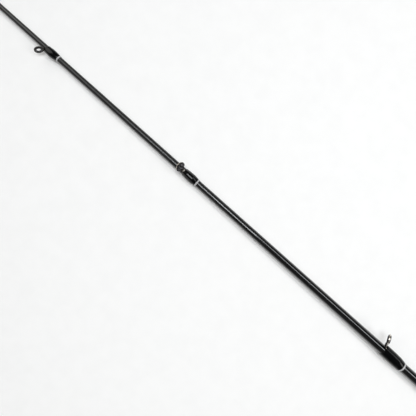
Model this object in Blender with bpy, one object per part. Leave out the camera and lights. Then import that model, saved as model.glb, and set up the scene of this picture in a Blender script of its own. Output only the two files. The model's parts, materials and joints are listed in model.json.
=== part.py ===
"""Two-piece spinning rod with a screw-down reel seat and line guides that turn round the blank.

Units are metres. +X runs along the rod from the flat end of the butt to the tip, +Z is up with the rod lying
on a table, and the origin is the centre of the butt's flat end. A turn about the rod is measured from +Z
towards -Y, by the right-hand rule about +X.
"""

from dataclasses import dataclass
from math import acos, atan2, cos, hypot, pi, radians, sin, sqrt

import bmesh
import bpy
from mathutils import Vector

# Rod and blank
BUTT_SECTION_LENGTH = 0.850
TIP_SECTION_LENGTH = 0.830
FERRULE_OVERLAP = 0.060
FERRULE_WALL = 0.0007
SOCKET_END_ROOM = 0.004
TIP_DIAMETER = 0.00226
UPPER_TAPER_LENGTH = 0.290
UPPER_TAPER_DIAMETER = 0.00436
MIDDLE_TAPER_LENGTH = 0.220
MIDDLE_TAPER_DIAMETER = 0.00642
SPIGOT_DIAMETER = 0.0068
BUTT_DIAMETER = 0.0106
BLANK_WALL = 0.0010
BORE_END_RADIUS = 0.0004

# Clearances: between bonded pieces, between pressed rings, and between pieces that slide or turn
BOND_GAP = 0.0001
PRESS_GAP = 0.00005
RUN_GAP = 0.0003

# Facets
SIDES = 24
HALF_ROUND_STEPS = 8
WRAP_BAR_STEPS = 1
HOOD_SIDES = 36
LEG_COLUMNS = 4
GRIP_STATIONS = 10
SHARP_ANGLE = 40.0

# Thread wraps and trim bands
WRAP_THICKNESS = 0.00042
WRAP_END_THICKNESS = 0.00016
WRAP_RAMP = 0.0012
WRAP_TAIL = 0.0030
FOOT_WRAP_EDGE = 0.00016
FOOT_WRAP_CROWN = 0.00062
FOOT_WRAP_SWELL = ((0.0, 0.0), (0.14, 0.40), (0.34, 0.83), (0.58, 1.0), (0.82, 0.70), (1.0, 0.10))
LEG_ROOM = 0.0005
TRIM_WIDTH = 0.0010
TRIM_THICKNESS = 0.00024

# Ferrule
FERRULE_WRAP_LENGTH = 0.030
FERRULE_LIP = 0.0010

# Tip-top
SLEEVE_LENGTH = 0.010
SLEEVE_WALL = 0.00045
SLEEVE_NOSE = 0.0008
SLEEVE_BITE = 0.0002
TIP_WRAP_LENGTH = 0.006

# Handle, from the butt forwards
CAP_LENGTH = 0.020
CAP_RADIUS = 0.0120
CAP_FACE_RADIUS = 0.0105
CAP_EDGE = 0.0016
CAP_FLOOR = 0.006
REAR_GRIP_LENGTH = 0.168
REAR_GRIP_BACK_RADIUS = 0.0117
REAR_GRIP_WAIST_RADIUS = 0.0092
REAR_GRIP_FRONT_RADIUS = 0.0101
REAR_GRIP_WAIST_AT = 0.62
TRIM_RING_LENGTH = 0.004
TRIM_RING_RADIUS = 0.0100
SEAT_LENGTH = 0.116
SEAT_RADIUS = 0.0085
SEAT_WALL = 0.0016
SEAT_FLAT_DEPTH = 0.0008
SEAT_FLAT_RUNOUT = 0.0025
ARBOR_LENGTH = 0.022
ARBOR_INSET = 0.012
FORE_GRIP_LENGTH = 0.046
FORE_GRIP_BACK_RADIUS = 0.0098
FORE_GRIP_FRONT_RADIUS = 0.0072
CHECK_LENGTH = 0.004
CHECK_RADIUS = 0.0066
HANDLE_WRAP_LENGTH = 0.018

# Reel seat's screw and hoods, placed from the seat's back end
SEAT_TURN = 90.0
THREAD_PITCH = 0.0025
THREAD_DEPTH = 0.0006
THREAD_START = 0.0020
THREAD_RUNOUT = 0.0025
THREAD_STEPS = 4
THREAD_GAP = 0.00035
NUT_START = 0.0100
NUT_LENGTH = 0.0120
NUT_TRAVEL = 0.0100
NUT_WALL = 0.0016
NUT_EDGE = 0.0008
HOOD_LENGTH = 0.0180
HOOD_BACK_WALL = 0.0040
HOOD_BACK_RISE = 0.0020
HOOD_WALL = 0.0011
POCKET_ROOM = 0.0051
POCKET_ROUND = 0.0070
FIXED_HOOD_INSET = 0.0040

# Hook keeper
KEEPER_FROM_WRAP = 0.031
KEEPER_TURN = -90.0
KEEPER_WIRE = 0.0008
KEEPER_LOOP_RADIUS = 0.0022
KEEPER_RISE = 0.0010
KEEPER_FOOT = 0.0060
KEEPER_ARC_STEPS = 8
WIRE_BEVEL_RESOLUTION = 2

# Line guides: shares of a ring's wall and half depth, and a foot's shares of length, width and thickness
RING_SHOULDER_SHARE = 0.35
RING_THROAT_SHARE = 0.45
RING_RIM_SHARE = 0.80
FOOT_OUTLINE = ((0.0, 1.0, 1.0), (0.12, 1.0, 1.0), (0.55, 0.85, 0.8), (1.0, 0.5, 0.4))
GUIDE_4_FROM_TIP = 0.4836
GUIDE_5_FROM_TIP = (GUIDE_4_FROM_TIP + TIP_SECTION_LENGTH) / 2
STRIPPER_BEHIND_FERRULE = 0.100
STRIPPER_SPREAD = 0.0130
STRIPPER_BRACE_COLUMN = SIDES // 4


@dataclass(frozen=True)
class Guide:
    """A line guide: where its leg leaves the blank, how far it is turned about the rod, and its sizes."""

    name: str
    from_tip: float
    turn: float
    height: float
    hole: float
    foot: float
    leg_width: float
    lean: float = 33.0
    ring_wall: float = 0.00072
    ring_depth: float = 0.0012
    hoop_width: float = 0.00072
    sheet: float = 0.0005
    wrap_edge: float = FOOT_WRAP_EDGE
    wrap_crown: float = FOOT_WRAP_CROWN

    @property
    def hoop_inner(self):
        """Radius of the hole in the hoop, which holds the ring."""
        return self.hole + self.ring_wall + PRESS_GAP

    @property
    def hoop_outer(self):
        """Outer radius of the hoop."""
        return self.hoop_inner + self.hoop_width


RUNNING_GUIDES = (
    Guide("guide_1", from_tip=0.085, turn=-90.0, height=0.0046, hole=0.0013, foot=0.0065, leg_width=0.0016),
    Guide("guide_2", from_tip=0.1866, turn=-61.0, height=0.00495, hole=0.0013, foot=0.0073,
          leg_width=0.0017, ring_wall=0.00092),
    Guide("guide_3", from_tip=0.3079, turn=4.0, height=0.0067, hole=0.00162, foot=0.0084,
          leg_width=0.0019, ring_wall=0.00094),
    Guide("guide_4", from_tip=GUIDE_4_FROM_TIP, turn=48.0, height=0.0102, hole=0.00180, foot=0.0138,
          leg_width=0.0026, ring_wall=0.0009, ring_depth=0.0020, hoop_width=0.0006, sheet=0.0008,
          wrap_edge=0.00040, wrap_crown=0.00052),
    Guide("guide_5", from_tip=GUIDE_5_FROM_TIP, turn=90.0, height=0.0140, hole=0.0039, foot=0.0150,
          leg_width=0.0028, ring_wall=0.0009, ring_depth=0.0016, hoop_width=0.0008, sheet=0.0006),
)
STRIPPER = Guide("stripper_guide", from_tip=TIP_SECTION_LENGTH + STRIPPER_BEHIND_FERRULE, turn=90.0,
                 height=0.0190, hole=0.0057, foot=0.0150, leg_width=0.0034, lean=18.0, ring_wall=0.0012,
                 ring_depth=0.0022, hoop_width=0.0010, sheet=0.0008)
TIP_TOP = Guide("tip_top", from_tip=0.0015, turn=-90.0, height=0.0045, hole=0.00135, foot=0.0065,
                leg_width=0.0014)

# Places that follow from the sizes above
FERRULE_X = BUTT_SECTION_LENGTH
ROD_LENGTH = BUTT_SECTION_LENGTH + TIP_SECTION_LENGTH
REAR_GRIP_X = CAP_LENGTH + BOND_GAP
REAR_RING_X = REAR_GRIP_X + REAR_GRIP_LENGTH + BOND_GAP
SEAT_X = REAR_RING_X + TRIM_RING_LENGTH + BOND_GAP
FORE_RING_X = SEAT_X + SEAT_LENGTH + BOND_GAP
FORE_GRIP_X = FORE_RING_X + TRIM_RING_LENGTH + BOND_GAP
CHECK_X = FORE_GRIP_X + FORE_GRIP_LENGTH + BOND_GAP
HANDLE_WRAP_X = CHECK_X + CHECK_LENGTH + BOND_GAP
KEEPER_X = HANDLE_WRAP_X + HANDLE_WRAP_LENGTH + KEEPER_FROM_WRAP
NUT_X = SEAT_X + NUT_START
HOOD_START = NUT_START + NUT_LENGTH + RUN_GAP
HOOD_X = SEAT_X + HOOD_START
FIXED_HOOD_START = SEAT_LENGTH - FIXED_HOOD_INSET - HOOD_LENGTH
FIXED_HOOD_X = SEAT_X + FIXED_HOOD_START
SEAT_BORE_RADIUS = SEAT_RADIUS - SEAT_WALL
NUT_RADIUS = SEAT_RADIUS + NUT_WALL
POCKET_TOP = SEAT_RADIUS + POCKET_ROOM
FERRULE_DIAMETER = SPIGOT_DIAMETER + 2 * (RUN_GAP + FERRULE_WALL)


def butt_radius(x):
    """Outer radius of the butt section's blank at a distance from the butt."""
    share = x / FERRULE_X
    return (BUTT_DIAMETER + (SPIGOT_DIAMETER - BUTT_DIAMETER) * share) / 2


def tip_radius(x):
    """Outer radius of the tip section's blank: three tapers, counted from the tip."""
    from_tip = ROD_LENGTH - x
    middle_end = UPPER_TAPER_LENGTH + MIDDLE_TAPER_LENGTH
    if from_tip < UPPER_TAPER_LENGTH:
        share = from_tip / UPPER_TAPER_LENGTH
        ends = (TIP_DIAMETER, UPPER_TAPER_DIAMETER)
    elif from_tip < middle_end:
        share = (from_tip - UPPER_TAPER_LENGTH) / MIDDLE_TAPER_LENGTH
        ends = (UPPER_TAPER_DIAMETER, MIDDLE_TAPER_DIAMETER)
    else:
        share = (from_tip - middle_end) / (TIP_SECTION_LENGTH - middle_end)
        ends = (MIDDLE_TAPER_DIAMETER, FERRULE_DIAMETER)
    return (ends[0] + (ends[1] - ends[0]) * share) / 2


def clear_scene():
    """Removes every object, so that the script starts from an empty scene."""
    for obj in list(bpy.data.objects):
        bpy.data.objects.remove(obj)


def finish(name, colour, roughness, metallic):
    """A Principled material."""
    material = bpy.data.materials.new(name)
    material.use_nodes = True
    shader = material.node_tree.nodes["Principled BSDF"]
    shader.inputs["Base Color"].default_value = (*colour, 1.0)
    shader.inputs["Roughness"].default_value = roughness
    shader.inputs["Metallic"].default_value = metallic
    return material


def empty(name, x):
    """An empty on the rod's axis, which carries the pieces of one section."""
    carrier = bpy.data.objects.new(name, None)
    carrier.location = (x, 0.0, 0.0)
    bpy.context.scene.collection.objects.link(carrier)
    return carrier


def place(name, data, material, carrier, x, turn=0.0):
    """Adds an object at a station of the rod, turned about the rod's axis and carried by an empty."""
    obj = bpy.data.objects.new(name, data)
    data.materials.append(material)
    obj.parent = carrier
    obj.location = (x - carrier.location.x, 0.0, 0.0)
    obj.rotation_euler = (radians(turn), 0.0, 0.0)
    bpy.context.scene.collection.objects.link(obj)
    return obj


def mesh_of(name, bm):
    """A smooth-shaded mesh with outward normals."""
    bmesh.ops.recalc_face_normals(bm, faces=bm.faces)
    mesh = bpy.data.meshes.new(name)
    bm.to_mesh(mesh)
    bm.free()
    mesh.shade_smooth()
    mesh.set_sharp_from_angle(angle=radians(SHARP_ANGLE))
    return mesh


def circle(radius):
    """A round section, as (angle, radius) pairs."""
    return [(2 * pi * k / SIDES, radius) for k in range(SIDES)]


def bar_angles(radius, half_width, top, steps):
    """Angles for a band over a round bar with a flat bar lying on it: where it bends, and steps between."""
    corner = atan2(half_width, top)
    touch = corner + acos(min(1.0, radius / hypot(half_width, top)))
    half = [corner * k / steps for k in range(1, steps)]
    half += [corner + (touch - corner) * k / (2 * steps) for k in range(2 * steps)]
    half += [touch + (pi - touch) * k / HALF_ROUND_STEPS for k in range(HALF_ROUND_STEPS)]
    return [0.0] + half + [pi] + [-angle for angle in reversed(half)]


def over_bar(angles, radius, half_width, top):
    """Section of that band, as (angle, radius) pairs at the angles given."""
    corner = atan2(half_width, top)
    touch = corner + acos(min(1.0, radius / hypot(half_width, top)))
    section = []
    for angle in angles:
        if abs(angle) <= corner:
            reach = top / cos(angle)
        elif abs(angle) < touch:
            reach = radius / cos(touch - abs(angle))
        else:
            reach = radius
        section.append((angle, reach))
    return section


def over_round(angles, radius, top, rounding):
    """Section of a band over a round bar and a second round that reaches to the top, at the angles given."""
    centre = top - rounding
    leave = acos((radius - rounding) / centre)
    meet = atan2(rounding * sin(leave), centre + rounding * cos(leave))
    section = []
    for angle in angles:
        if abs(angle) <= meet:
            reach = centre * cos(angle) + sqrt(rounding ** 2 - (centre * sin(angle)) ** 2)
        elif abs(angle) < leave:
            reach = radius / cos(leave - abs(angle))
        else:
            reach = radius
        section.append((angle, reach))
    return section


def flattened(radius, flat):
    """A round section with one flat, as (angle, radius) pairs with the flat's edges on two of them."""
    edge = acos(flat / radius)
    half = [(edge / 2, flat / cos(edge / 2)), (edge, radius)]
    steps = SIDES // 2 - 2
    for k in range(1, steps):
        half.append((edge + (pi - edge) * k / steps, radius))
    other_half = [(-angle, reach_out) for angle, reach_out in reversed(half)]
    return [(0.0, flat)] + half + [(pi, radius)] + other_half


def station(x, section):
    """The points of a section at a station along the rod."""
    return [Vector((x, -radius * sin(angle), radius * cos(angle))) for angle, radius in section]


def loft(name, rings, closed):
    """A mesh through rings of equal count: a tube wall where the rings close on themselves, else capped."""
    bm = bmesh.new()
    rows = [[bm.verts.new(point) for point in ring] for ring in rings]
    following = rows[1:] + rows[:1] if closed else rows[1:]
    for row, after in zip(rows, following):
        for k in range(len(row)):
            n = (k + 1) % len(row)
            bm.faces.new((row[k], row[n], after[n], after[k]))
    if not closed:
        bm.faces.new(rows[0])
        bm.faces.new(rows[-1])
    return mesh_of(name, bm)


def turned(name, profile, closed, material, carrier):
    """A turned piece from (x, radius) points along the rod."""
    start = min(x for x, _ in profile)
    rings = [station(x - start, circle(radius)) for x, radius in profile]
    return place(name, loft(name, rings, closed), material, carrier, start)


def sleeve(name, start, length, bore, outside, material, carrier):
    """A turned tube whose bore and outside are functions of x, with even stations along it."""
    stations = [start + length * k / GRIP_STATIONS for k in range(GRIP_STATIONS + 1)]
    profile = [(x, outside(x)) for x in stations]
    profile += [(start + length, bore(start + length)), (start, bore(start))]
    return turned(name, profile, True, material, carrier)


def band(name, start, length, blank, thickness, material, carrier):
    """A plain band round the blank."""
    end = start + length
    profile = [(start, blank(start) + BOND_GAP + thickness), (end, blank(end) + BOND_GAP + thickness)]
    profile += [(end, blank(end) + BOND_GAP), (start, blank(start) + BOND_GAP)]
    return turned(name, profile, True, material, carrier)


def plain_wrap(name, start, length, blank, material, carrier):
    """A thread wrap with nothing under it but the blank, thinner at both ends."""
    end = start + length
    outside = [(start, WRAP_END_THICKNESS), (start + WRAP_RAMP, WRAP_THICKNESS)]
    outside += [(end - WRAP_RAMP, WRAP_THICKNESS), (end, WRAP_END_THICKNESS)]
    profile = [(x, blank(x) + BOND_GAP + thickness) for x, thickness in outside]
    profile += [(end, blank(end) + BOND_GAP), (start, blank(start) + BOND_GAP)]
    return turned(name, profile, True, material, carrier)


def between(pairs, along):
    """The value between (distance, value) pairs at a distance."""
    for (start, low), (end, high) in zip(pairs, pairs[1:]):
        if along <= end:
            return low + (high - low) * (along - start) / (end - start)
    return pairs[-1][1]


def foot_wrap(name, x, turn, heights, half_width, side, blank, layer, material, carrier):
    """A thread wrap over a foot that runs from x along the blank, towards the butt or the tip by its side.

    The foot's upper face is given by (distance from x, height above the rod's axis) pairs, and the
    layer by its thickness at the edge and at the crown.
    """
    foot = heights[-1][0]
    end = foot + WRAP_TAIL
    edge, crown = layer
    wound = end - LEG_ROOM
    shape = [(LEG_ROOM + wound * share, edge + (crown - edge) * rise) for share, rise in FOOT_WRAP_SWELL]
    bends = {along for along, _ in shape + heights if LEG_ROOM <= along < foot}
    stations = [(along, between(heights, along)) for along in sorted(bends)]
    stations += [(foot + BOND_GAP, heights[-1][1]), (end - WRAP_RAMP / 2, 0.0), (end, 0.0)]
    angles = bar_angles(blank(x) + BOND_GAP, half_width + BOND_GAP, heights[0][1] + BOND_GAP, WRAP_BAR_STEPS)
    outer = []
    inner = []
    for along, height in stations:
        radius = blank(x + side * along) + BOND_GAP
        if height:
            inside = over_bar(angles, radius, half_width + BOND_GAP, height + BOND_GAP)
        else:
            inside = [(angle, radius) for angle in angles]
        thickness = between(shape, along)
        outside = [(angle, reach + thickness) for angle, reach in inside]
        inner.append(station(side * along, inside))
        outer.append(station(side * along, outside))
    mesh = loft(name, outer + inner[::-1], True)
    place(name, mesh, material, carrier, x, turn)
    return x + side * end


def strip(bm, rows):
    """Faces between rows of vertices."""
    for row, after in zip(rows, rows[1:]):
        for k in range(len(row) - 1):
            bm.faces.new((row[k], row[k + 1], after[k + 1], after[k]))


def foot_rows(bm, guide, bend_x, level, side):
    """Rows of a foot: wide and thick at the bend, narrowed and ground thin towards its end."""
    weights = bm.verts.layers.deform.verify()
    rows = []
    for share, width, thickness in FOOT_OUTLINE:
        half = guide.leg_width * width / 2
        middle = level - guide.sheet * (1 - thickness) / 2
        across = [half * (2 * k / LEG_COLUMNS - 1) for k in range(LEG_COLUMNS + 1)]
        rows.append([bm.verts.new((bend_x + side * guide.foot * share, y, middle)) for y in across])
        for vertex in rows[-1]:
            vertex[weights][0] = thickness
    return rows


def foot_heights(guide, level):
    """A foot's upper face, as (distance from the bend, height above the rod's axis) pairs."""
    under = level - guide.sheet / 2
    return [(guide.foot * share, under + guide.sheet * thickness) for share, _, thickness in FOOT_OUTLINE]


def foot_level(guide, blank, x, spread=0.0):
    """Height of the foot's middle above the rod's axis: it lies on the thickest blank that it covers."""
    reaches = [blank(x - guide.foot), blank(x + spread + guide.foot)]
    return max(reaches) + BOND_GAP + guide.sheet / 2


def guide_sheet(name, guide, level, spread):
    """The stamped sheet of a guide's frame: a leaning hoop, leg and foot, and a second foot if spread."""
    bm = bmesh.new()
    weights = bm.verts.layers.deform.verify()
    lean = radians(guide.lean)
    up = Vector((sin(lean), 0.0, cos(lean)))
    out = Vector((0.0, 1.0, 0.0))
    centre = Vector((0.0, 0.0, level)) + up * ((guide.height - level) / cos(lean))

    def hoop(radius):
        points = []
        for k in range(SIDES):
            angle = 2 * pi * k / SIDES
            points.append(bm.verts.new(centre - up * (radius * cos(angle)) + out * (radius * sin(angle))))
            points[-1][weights][0] = 1.0
        return points

    outer = hoop(guide.hoop_outer)
    inner = hoop(guide.hoop_inner)
    for k in range(SIDES):
        n = (k + 1) % SIDES
        bm.faces.new((outer[k], outer[n], inner[n], inner[k]))
    columns = range(-LEG_COLUMNS // 2, LEG_COLUMNS // 2 + 1)
    top_row = [outer[k % SIDES] for k in columns]
    rear = foot_rows(bm, guide, 0.0, level, -1)
    strip(bm, [top_row] + rear)
    if spread:
        front = foot_rows(bm, guide, spread, level, 1)
        strip(bm, front)
        column = STRIPPER_BRACE_COLUMN
        strip(bm, [[outer[column], outer[column + 1]], [front[0][-2], front[0][-1]]])
        strip(bm, [[outer[-column - 1], outer[-column]], [front[0][0], front[0][1]]])
    return mesh_of(name, bm)


def solidify(obj, thickness):
    """Gives a sheet its thickness, half on each side, less where its vertices weigh less."""
    group = obj.vertex_groups.new(name="thickness")
    modifier = obj.modifiers.new("sheet thickness", "SOLIDIFY")
    modifier.thickness = thickness
    modifier.vertex_group = group.name
    modifier.offset = 0.0
    modifier.use_even_offset = True
    modifier.use_quality_normals = True


def guide_ring(guide, level, x, material, carrier):
    """The hard ring pressed into the hoop, rounded where the line runs."""
    lean = radians(guide.lean)
    up = Vector((sin(lean), 0.0, cos(lean)))
    through = Vector((cos(lean), 0.0, -sin(lean)))
    out = Vector((0.0, 1.0, 0.0))
    centre = Vector((0.0, 0.0, level)) + up * ((guide.height - level) / cos(lean))
    outer = guide.hole + guide.ring_wall
    shoulder = guide.hole + guide.ring_wall * RING_SHOULDER_SHARE
    half = guide.ring_depth / 2
    throat = half * RING_THROAT_SHARE
    rim = half * RING_RIM_SHARE
    section = [(guide.hole, -throat), (guide.hole, throat), (shoulder, half)]
    section += [(outer, rim), (outer, -rim), (shoulder, -half)]
    rings = []
    for k in range(SIDES):
        angle = 2 * pi * k / SIDES
        outward = out * sin(angle) - up * cos(angle)
        rings.append([centre + outward * radius + through * along for radius, along in section])
    name = guide.name + "_ring"
    return place(name, loft(name, rings, True), material, carrier, x, guide.turn)


def running_guide(guide, finishes, carrier):
    """A single-foot guide: frame, ring, wrap and trim band."""
    x = ROD_LENGTH - guide.from_tip
    level = foot_level(guide, tip_radius, x)
    name = guide.name + "_frame"
    sheet = guide_sheet(name, guide, level, 0.0)
    frame = place(name, sheet, finishes["guide metal"], carrier, x, guide.turn)
    solidify(frame, guide.sheet)
    guide_ring(guide, level, x, finishes["ring ceramic"], carrier)
    layer = (guide.wrap_edge, guide.wrap_crown)
    end = foot_wrap(guide.name + "_wrap", x, guide.turn, foot_heights(guide, level), guide.leg_width / 2, -1,
                    tip_radius, layer, finishes["wrap"], carrier)
    band(guide.name + "_trim", end - BOND_GAP - TRIM_WIDTH, TRIM_WIDTH, tip_radius, TRIM_THICKNESS,
         finishes["trim thread"], carrier)


def stripper_guide(guide, finishes, carrier):
    """The double-foot guide nearest the reel: frame, ring, and a wrap and trim band at each foot."""
    x = ROD_LENGTH - guide.from_tip
    level = foot_level(guide, butt_radius, x, STRIPPER_SPREAD)
    name = guide.name + "_frame"
    sheet = guide_sheet(name, guide, level, STRIPPER_SPREAD)
    frame = place(name, sheet, finishes["guide metal"], carrier, x, guide.turn)
    solidify(frame, guide.sheet)
    guide_ring(guide, level, x, finishes["ring ceramic"], carrier)
    heights = foot_heights(guide, level)
    half_width = guide.leg_width / 2
    layer = (guide.wrap_edge, guide.wrap_crown)
    for side, word, start in ((-1, "rear", x), (1, "front", x + STRIPPER_SPREAD)):
        end = foot_wrap(f"{guide.name}_{word}_wrap", start, guide.turn, heights, half_width, side,
                        butt_radius, layer, finishes["wrap"], carrier)
        band_start = end + BOND_GAP if side > 0 else end - BOND_GAP - TRIM_WIDTH
        band(f"{guide.name}_{word}_trim", band_start, TRIM_WIDTH, butt_radius, TRIM_THICKNESS,
             finishes["trim thread"], carrier)


def tip_top(guide, finishes, carrier):
    """The last guide: a closed sleeve over the blank's end with a hoop on it, a ring, and a short wrap."""
    x = ROD_LENGTH - guide.from_tip
    bore = tip_radius(ROD_LENGTH - SLEEVE_LENGTH) + BOND_GAP
    outside = bore + SLEEVE_WALL
    start = ROD_LENGTH - SLEEVE_LENGTH
    nose = ROD_LENGTH + SLEEVE_NOSE
    profile = [(nose, bore), (ROD_LENGTH, outside), (start, outside), (start, bore)]
    profile.append((ROD_LENGTH + BOND_GAP, bore))
    tube = turned("tip_top_sleeve", profile, False, finishes["guide metal"], carrier)
    tube.hide_render = True
    tube.display_type = "WIRE"
    level = outside - SLEEVE_BITE + guide.sheet / 2
    name = guide.name + "_frame"
    sheet = guide_sheet(name, guide, level, 0.0)
    frame = place(name, sheet, finishes["guide metal"], carrier, x, guide.turn)
    solidify(frame, guide.sheet)
    union = frame.modifiers.new("sleeve", "BOOLEAN")
    union.operation = "UNION"
    union.object = tube
    guide_ring(guide, level, x, finishes["ring ceramic"], carrier)
    plain_wrap("tip_top_wrap", start - BOND_GAP - TIP_WRAP_LENGTH, TIP_WRAP_LENGTH, tip_radius,
               finishes["wrap"], carrier)


def tip_blank(finishes, carrier):
    """The tip section's blank: a taper with the ferrule's socket and a bore that ends towards the tip."""
    bore_end = ROD_LENGTH - UPPER_TAPER_LENGTH
    middle = bore_end - MIDDLE_TAPER_LENGTH
    socket_end = FERRULE_X + FERRULE_OVERLAP + SOCKET_END_ROOM
    profile = [(x, tip_radius(x)) for x in (ROD_LENGTH, bore_end, middle, FERRULE_X)]
    profile.append((FERRULE_X, butt_radius(FERRULE_X) + RUN_GAP))
    profile.append((socket_end, butt_radius(socket_end) + RUN_GAP))
    profile.append((middle, tip_radius(middle) - BLANK_WALL))
    profile.append((bore_end, BORE_END_RADIUS))
    turned("tip_blank", profile, False, finishes["blank"], carrier)


def butt_blank(finishes, carrier):
    """The butt section's blank: a tube from inside the butt cap to the spigot's end."""
    start = CAP_FLOOR + BOND_GAP
    end = FERRULE_X + FERRULE_OVERLAP
    stations = [start, SEAT_X, HANDLE_WRAP_X, FERRULE_X, end]
    profile = [(x, butt_radius(x)) for x in stations]
    profile += [(x, butt_radius(x) - BLANK_WALL) for x in reversed(stations)]
    turned("butt_blank", profile, True, finishes["blank"], carrier)


def ferrule(finishes, carrier):
    """The reinforcing wrap and trim band on the socket's end."""
    start = FERRULE_X + FERRULE_LIP
    plain_wrap("ferrule_wrap", start, FERRULE_WRAP_LENGTH, tip_radius, finishes["wrap"], carrier)
    band("ferrule_trim", start + FERRULE_WRAP_LENGTH + BOND_GAP, TRIM_WIDTH, tip_radius, TRIM_THICKNESS,
         finishes["trim thread"], carrier)


def grip_bore(x):
    """Bore of a piece bonded to the butt section's blank."""
    return butt_radius(x) + BOND_GAP


def butt_cap(finishes, carrier):
    """A cup over the blank's end, with the rod's flat end face."""
    bore = grip_bore(CAP_FLOOR)
    profile = [(0.0, CAP_FACE_RADIUS), (CAP_EDGE, CAP_RADIUS), (CAP_LENGTH - CAP_EDGE, CAP_RADIUS)]
    profile += [(CAP_LENGTH, REAR_GRIP_BACK_RADIUS), (CAP_LENGTH, bore), (CAP_FLOOR, bore)]
    turned("butt_cap", profile, False, finishes["cap rubber"], carrier)


def rear_grip_radius(x):
    """The rear grip's outside: it draws in to a waist and swells again towards the reel seat."""
    share = (x - REAR_GRIP_X) / REAR_GRIP_LENGTH
    if share < REAR_GRIP_WAIST_AT:
        swing = cos(pi * share / REAR_GRIP_WAIST_AT)
        end_radius = REAR_GRIP_BACK_RADIUS
    else:
        swing = -cos(pi * (share - REAR_GRIP_WAIST_AT) / (1 - REAR_GRIP_WAIST_AT))
        end_radius = REAR_GRIP_FRONT_RADIUS
    return REAR_GRIP_WAIST_RADIUS + (end_radius - REAR_GRIP_WAIST_RADIUS) * (1 + swing) / 2


def fore_grip_radius(x):
    """The fore grip's outside: a smooth fall from the reel seat to the winding check."""
    share = (x - FORE_GRIP_X) / FORE_GRIP_LENGTH
    fall = (1 + cos(pi * share)) / 2
    return FORE_GRIP_FRONT_RADIUS + (FORE_GRIP_BACK_RADIUS - FORE_GRIP_FRONT_RADIUS) * fall


def handle(finishes, carrier):
    """Grips, trim rings, winding check, and the finishing wrap and band in front of them."""
    butt_cap(finishes, carrier)
    foam = finishes["grip foam"]
    sleeve("rear_grip", REAR_GRIP_X, REAR_GRIP_LENGTH, grip_bore, rear_grip_radius, foam, carrier)
    sleeve("fore_grip", FORE_GRIP_X, FORE_GRIP_LENGTH, grip_bore, fore_grip_radius, foam, carrier)
    for name, x in (("rear_trim_ring", REAR_RING_X), ("fore_trim_ring", FORE_RING_X)):
        end = x + TRIM_RING_LENGTH
        profile = [(x, TRIM_RING_RADIUS), (end, TRIM_RING_RADIUS), (end, grip_bore(x)), (x, grip_bore(x))]
        turned(name, profile, True, finishes["aluminium"], carrier)
    end = CHECK_X + CHECK_LENGTH
    profile = [(CHECK_X, FORE_GRIP_FRONT_RADIUS), (CHECK_X + CHECK_LENGTH / 2, FORE_GRIP_FRONT_RADIUS)]
    profile += [(end, CHECK_RADIUS), (end, grip_bore(CHECK_X)), (CHECK_X, grip_bore(CHECK_X))]
    turned("winding_check", profile, True, finishes["aluminium"], carrier)
    plain_wrap("handle_wrap", HANDLE_WRAP_X, HANDLE_WRAP_LENGTH, butt_radius, finishes["wrap"], carrier)
    wrap_end = HANDLE_WRAP_X + HANDLE_WRAP_LENGTH
    band("handle_trim", wrap_end + BOND_GAP, TRIM_WIDTH, butt_radius, TRIM_THICKNESS,
         finishes["trim thread"], carrier)


def thread_section(x, root):
    """A section through a right-hand screw thread with this root radius, x from the seat's back end."""
    section = []
    for angle, _ in circle(root):
        wave = (1 + cos(2 * pi * x / THREAD_PITCH - angle)) / 2
        section.append((angle, root + THREAD_DEPTH * wave))
    return section


def thread_stations(start, length):
    """Stations along a thread, a few to each pitch."""
    count = round(length / THREAD_PITCH * THREAD_STEPS)
    return [start + length * k / count for k in range(count + 1)]


def reel_seat(finishes, carrier):
    """The seat's body with its screw thread and flat, the fixed hood, and the arbors on the blank."""
    root = SEAT_RADIUS - THREAD_DEPTH
    thread_end = NUT_START + NUT_LENGTH + NUT_TRAVEL + THREAD_RUNOUT
    plain_start = thread_end + THREAD_PITCH
    flat_start = max(plain_start, HOOD_START + HOOD_LENGTH) + SEAT_FLAT_RUNOUT
    flat_end = FIXED_HOOD_START - SEAT_FLAT_RUNOUT
    flat = flattened(SEAT_RADIUS, SEAT_RADIUS - SEAT_FLAT_DEPTH)
    rings = [station(0.0, circle(root))]
    threaded = thread_stations(THREAD_START, thread_end - THREAD_START)
    rings += [station(x, thread_section(x, root)) for x in threaded]
    rings += [station(x, circle(SEAT_RADIUS)) for x in (plain_start, flat_start - SEAT_FLAT_RUNOUT / 2)]
    rings += [station(x, flat) for x in (flat_start, flat_end)]
    rings += [station(x, circle(SEAT_RADIUS)) for x in (FIXED_HOOD_START, SEAT_LENGTH)]
    rings += [station(x, circle(SEAT_BORE_RADIUS)) for x in (SEAT_LENGTH, 0.0)]
    mesh = loft("reel_seat_body", rings, True)
    place("reel_seat_body", mesh, finishes["seat"], carrier, SEAT_X, SEAT_TURN)
    fixed = hood_mesh("fixed_hood", SEAT_RADIUS + BOND_GAP, 1)
    place("fixed_hood", fixed, finishes["hood metal"], carrier, FIXED_HOOD_X, SEAT_TURN)
    arbor_starts = (SEAT_X + ARBOR_INSET, SEAT_X + SEAT_LENGTH - ARBOR_INSET - ARBOR_LENGTH)
    for name, x in zip(("rear_arbor", "front_arbor"), arbor_starts):
        outside = SEAT_BORE_RADIUS - BOND_GAP
        end = x + ARBOR_LENGTH
        profile = [(x, outside), (end, outside), (end, grip_bore(end)), (x, grip_bore(x))]
        turned(name, profile, True, finishes["arbor"], carrier)


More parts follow.
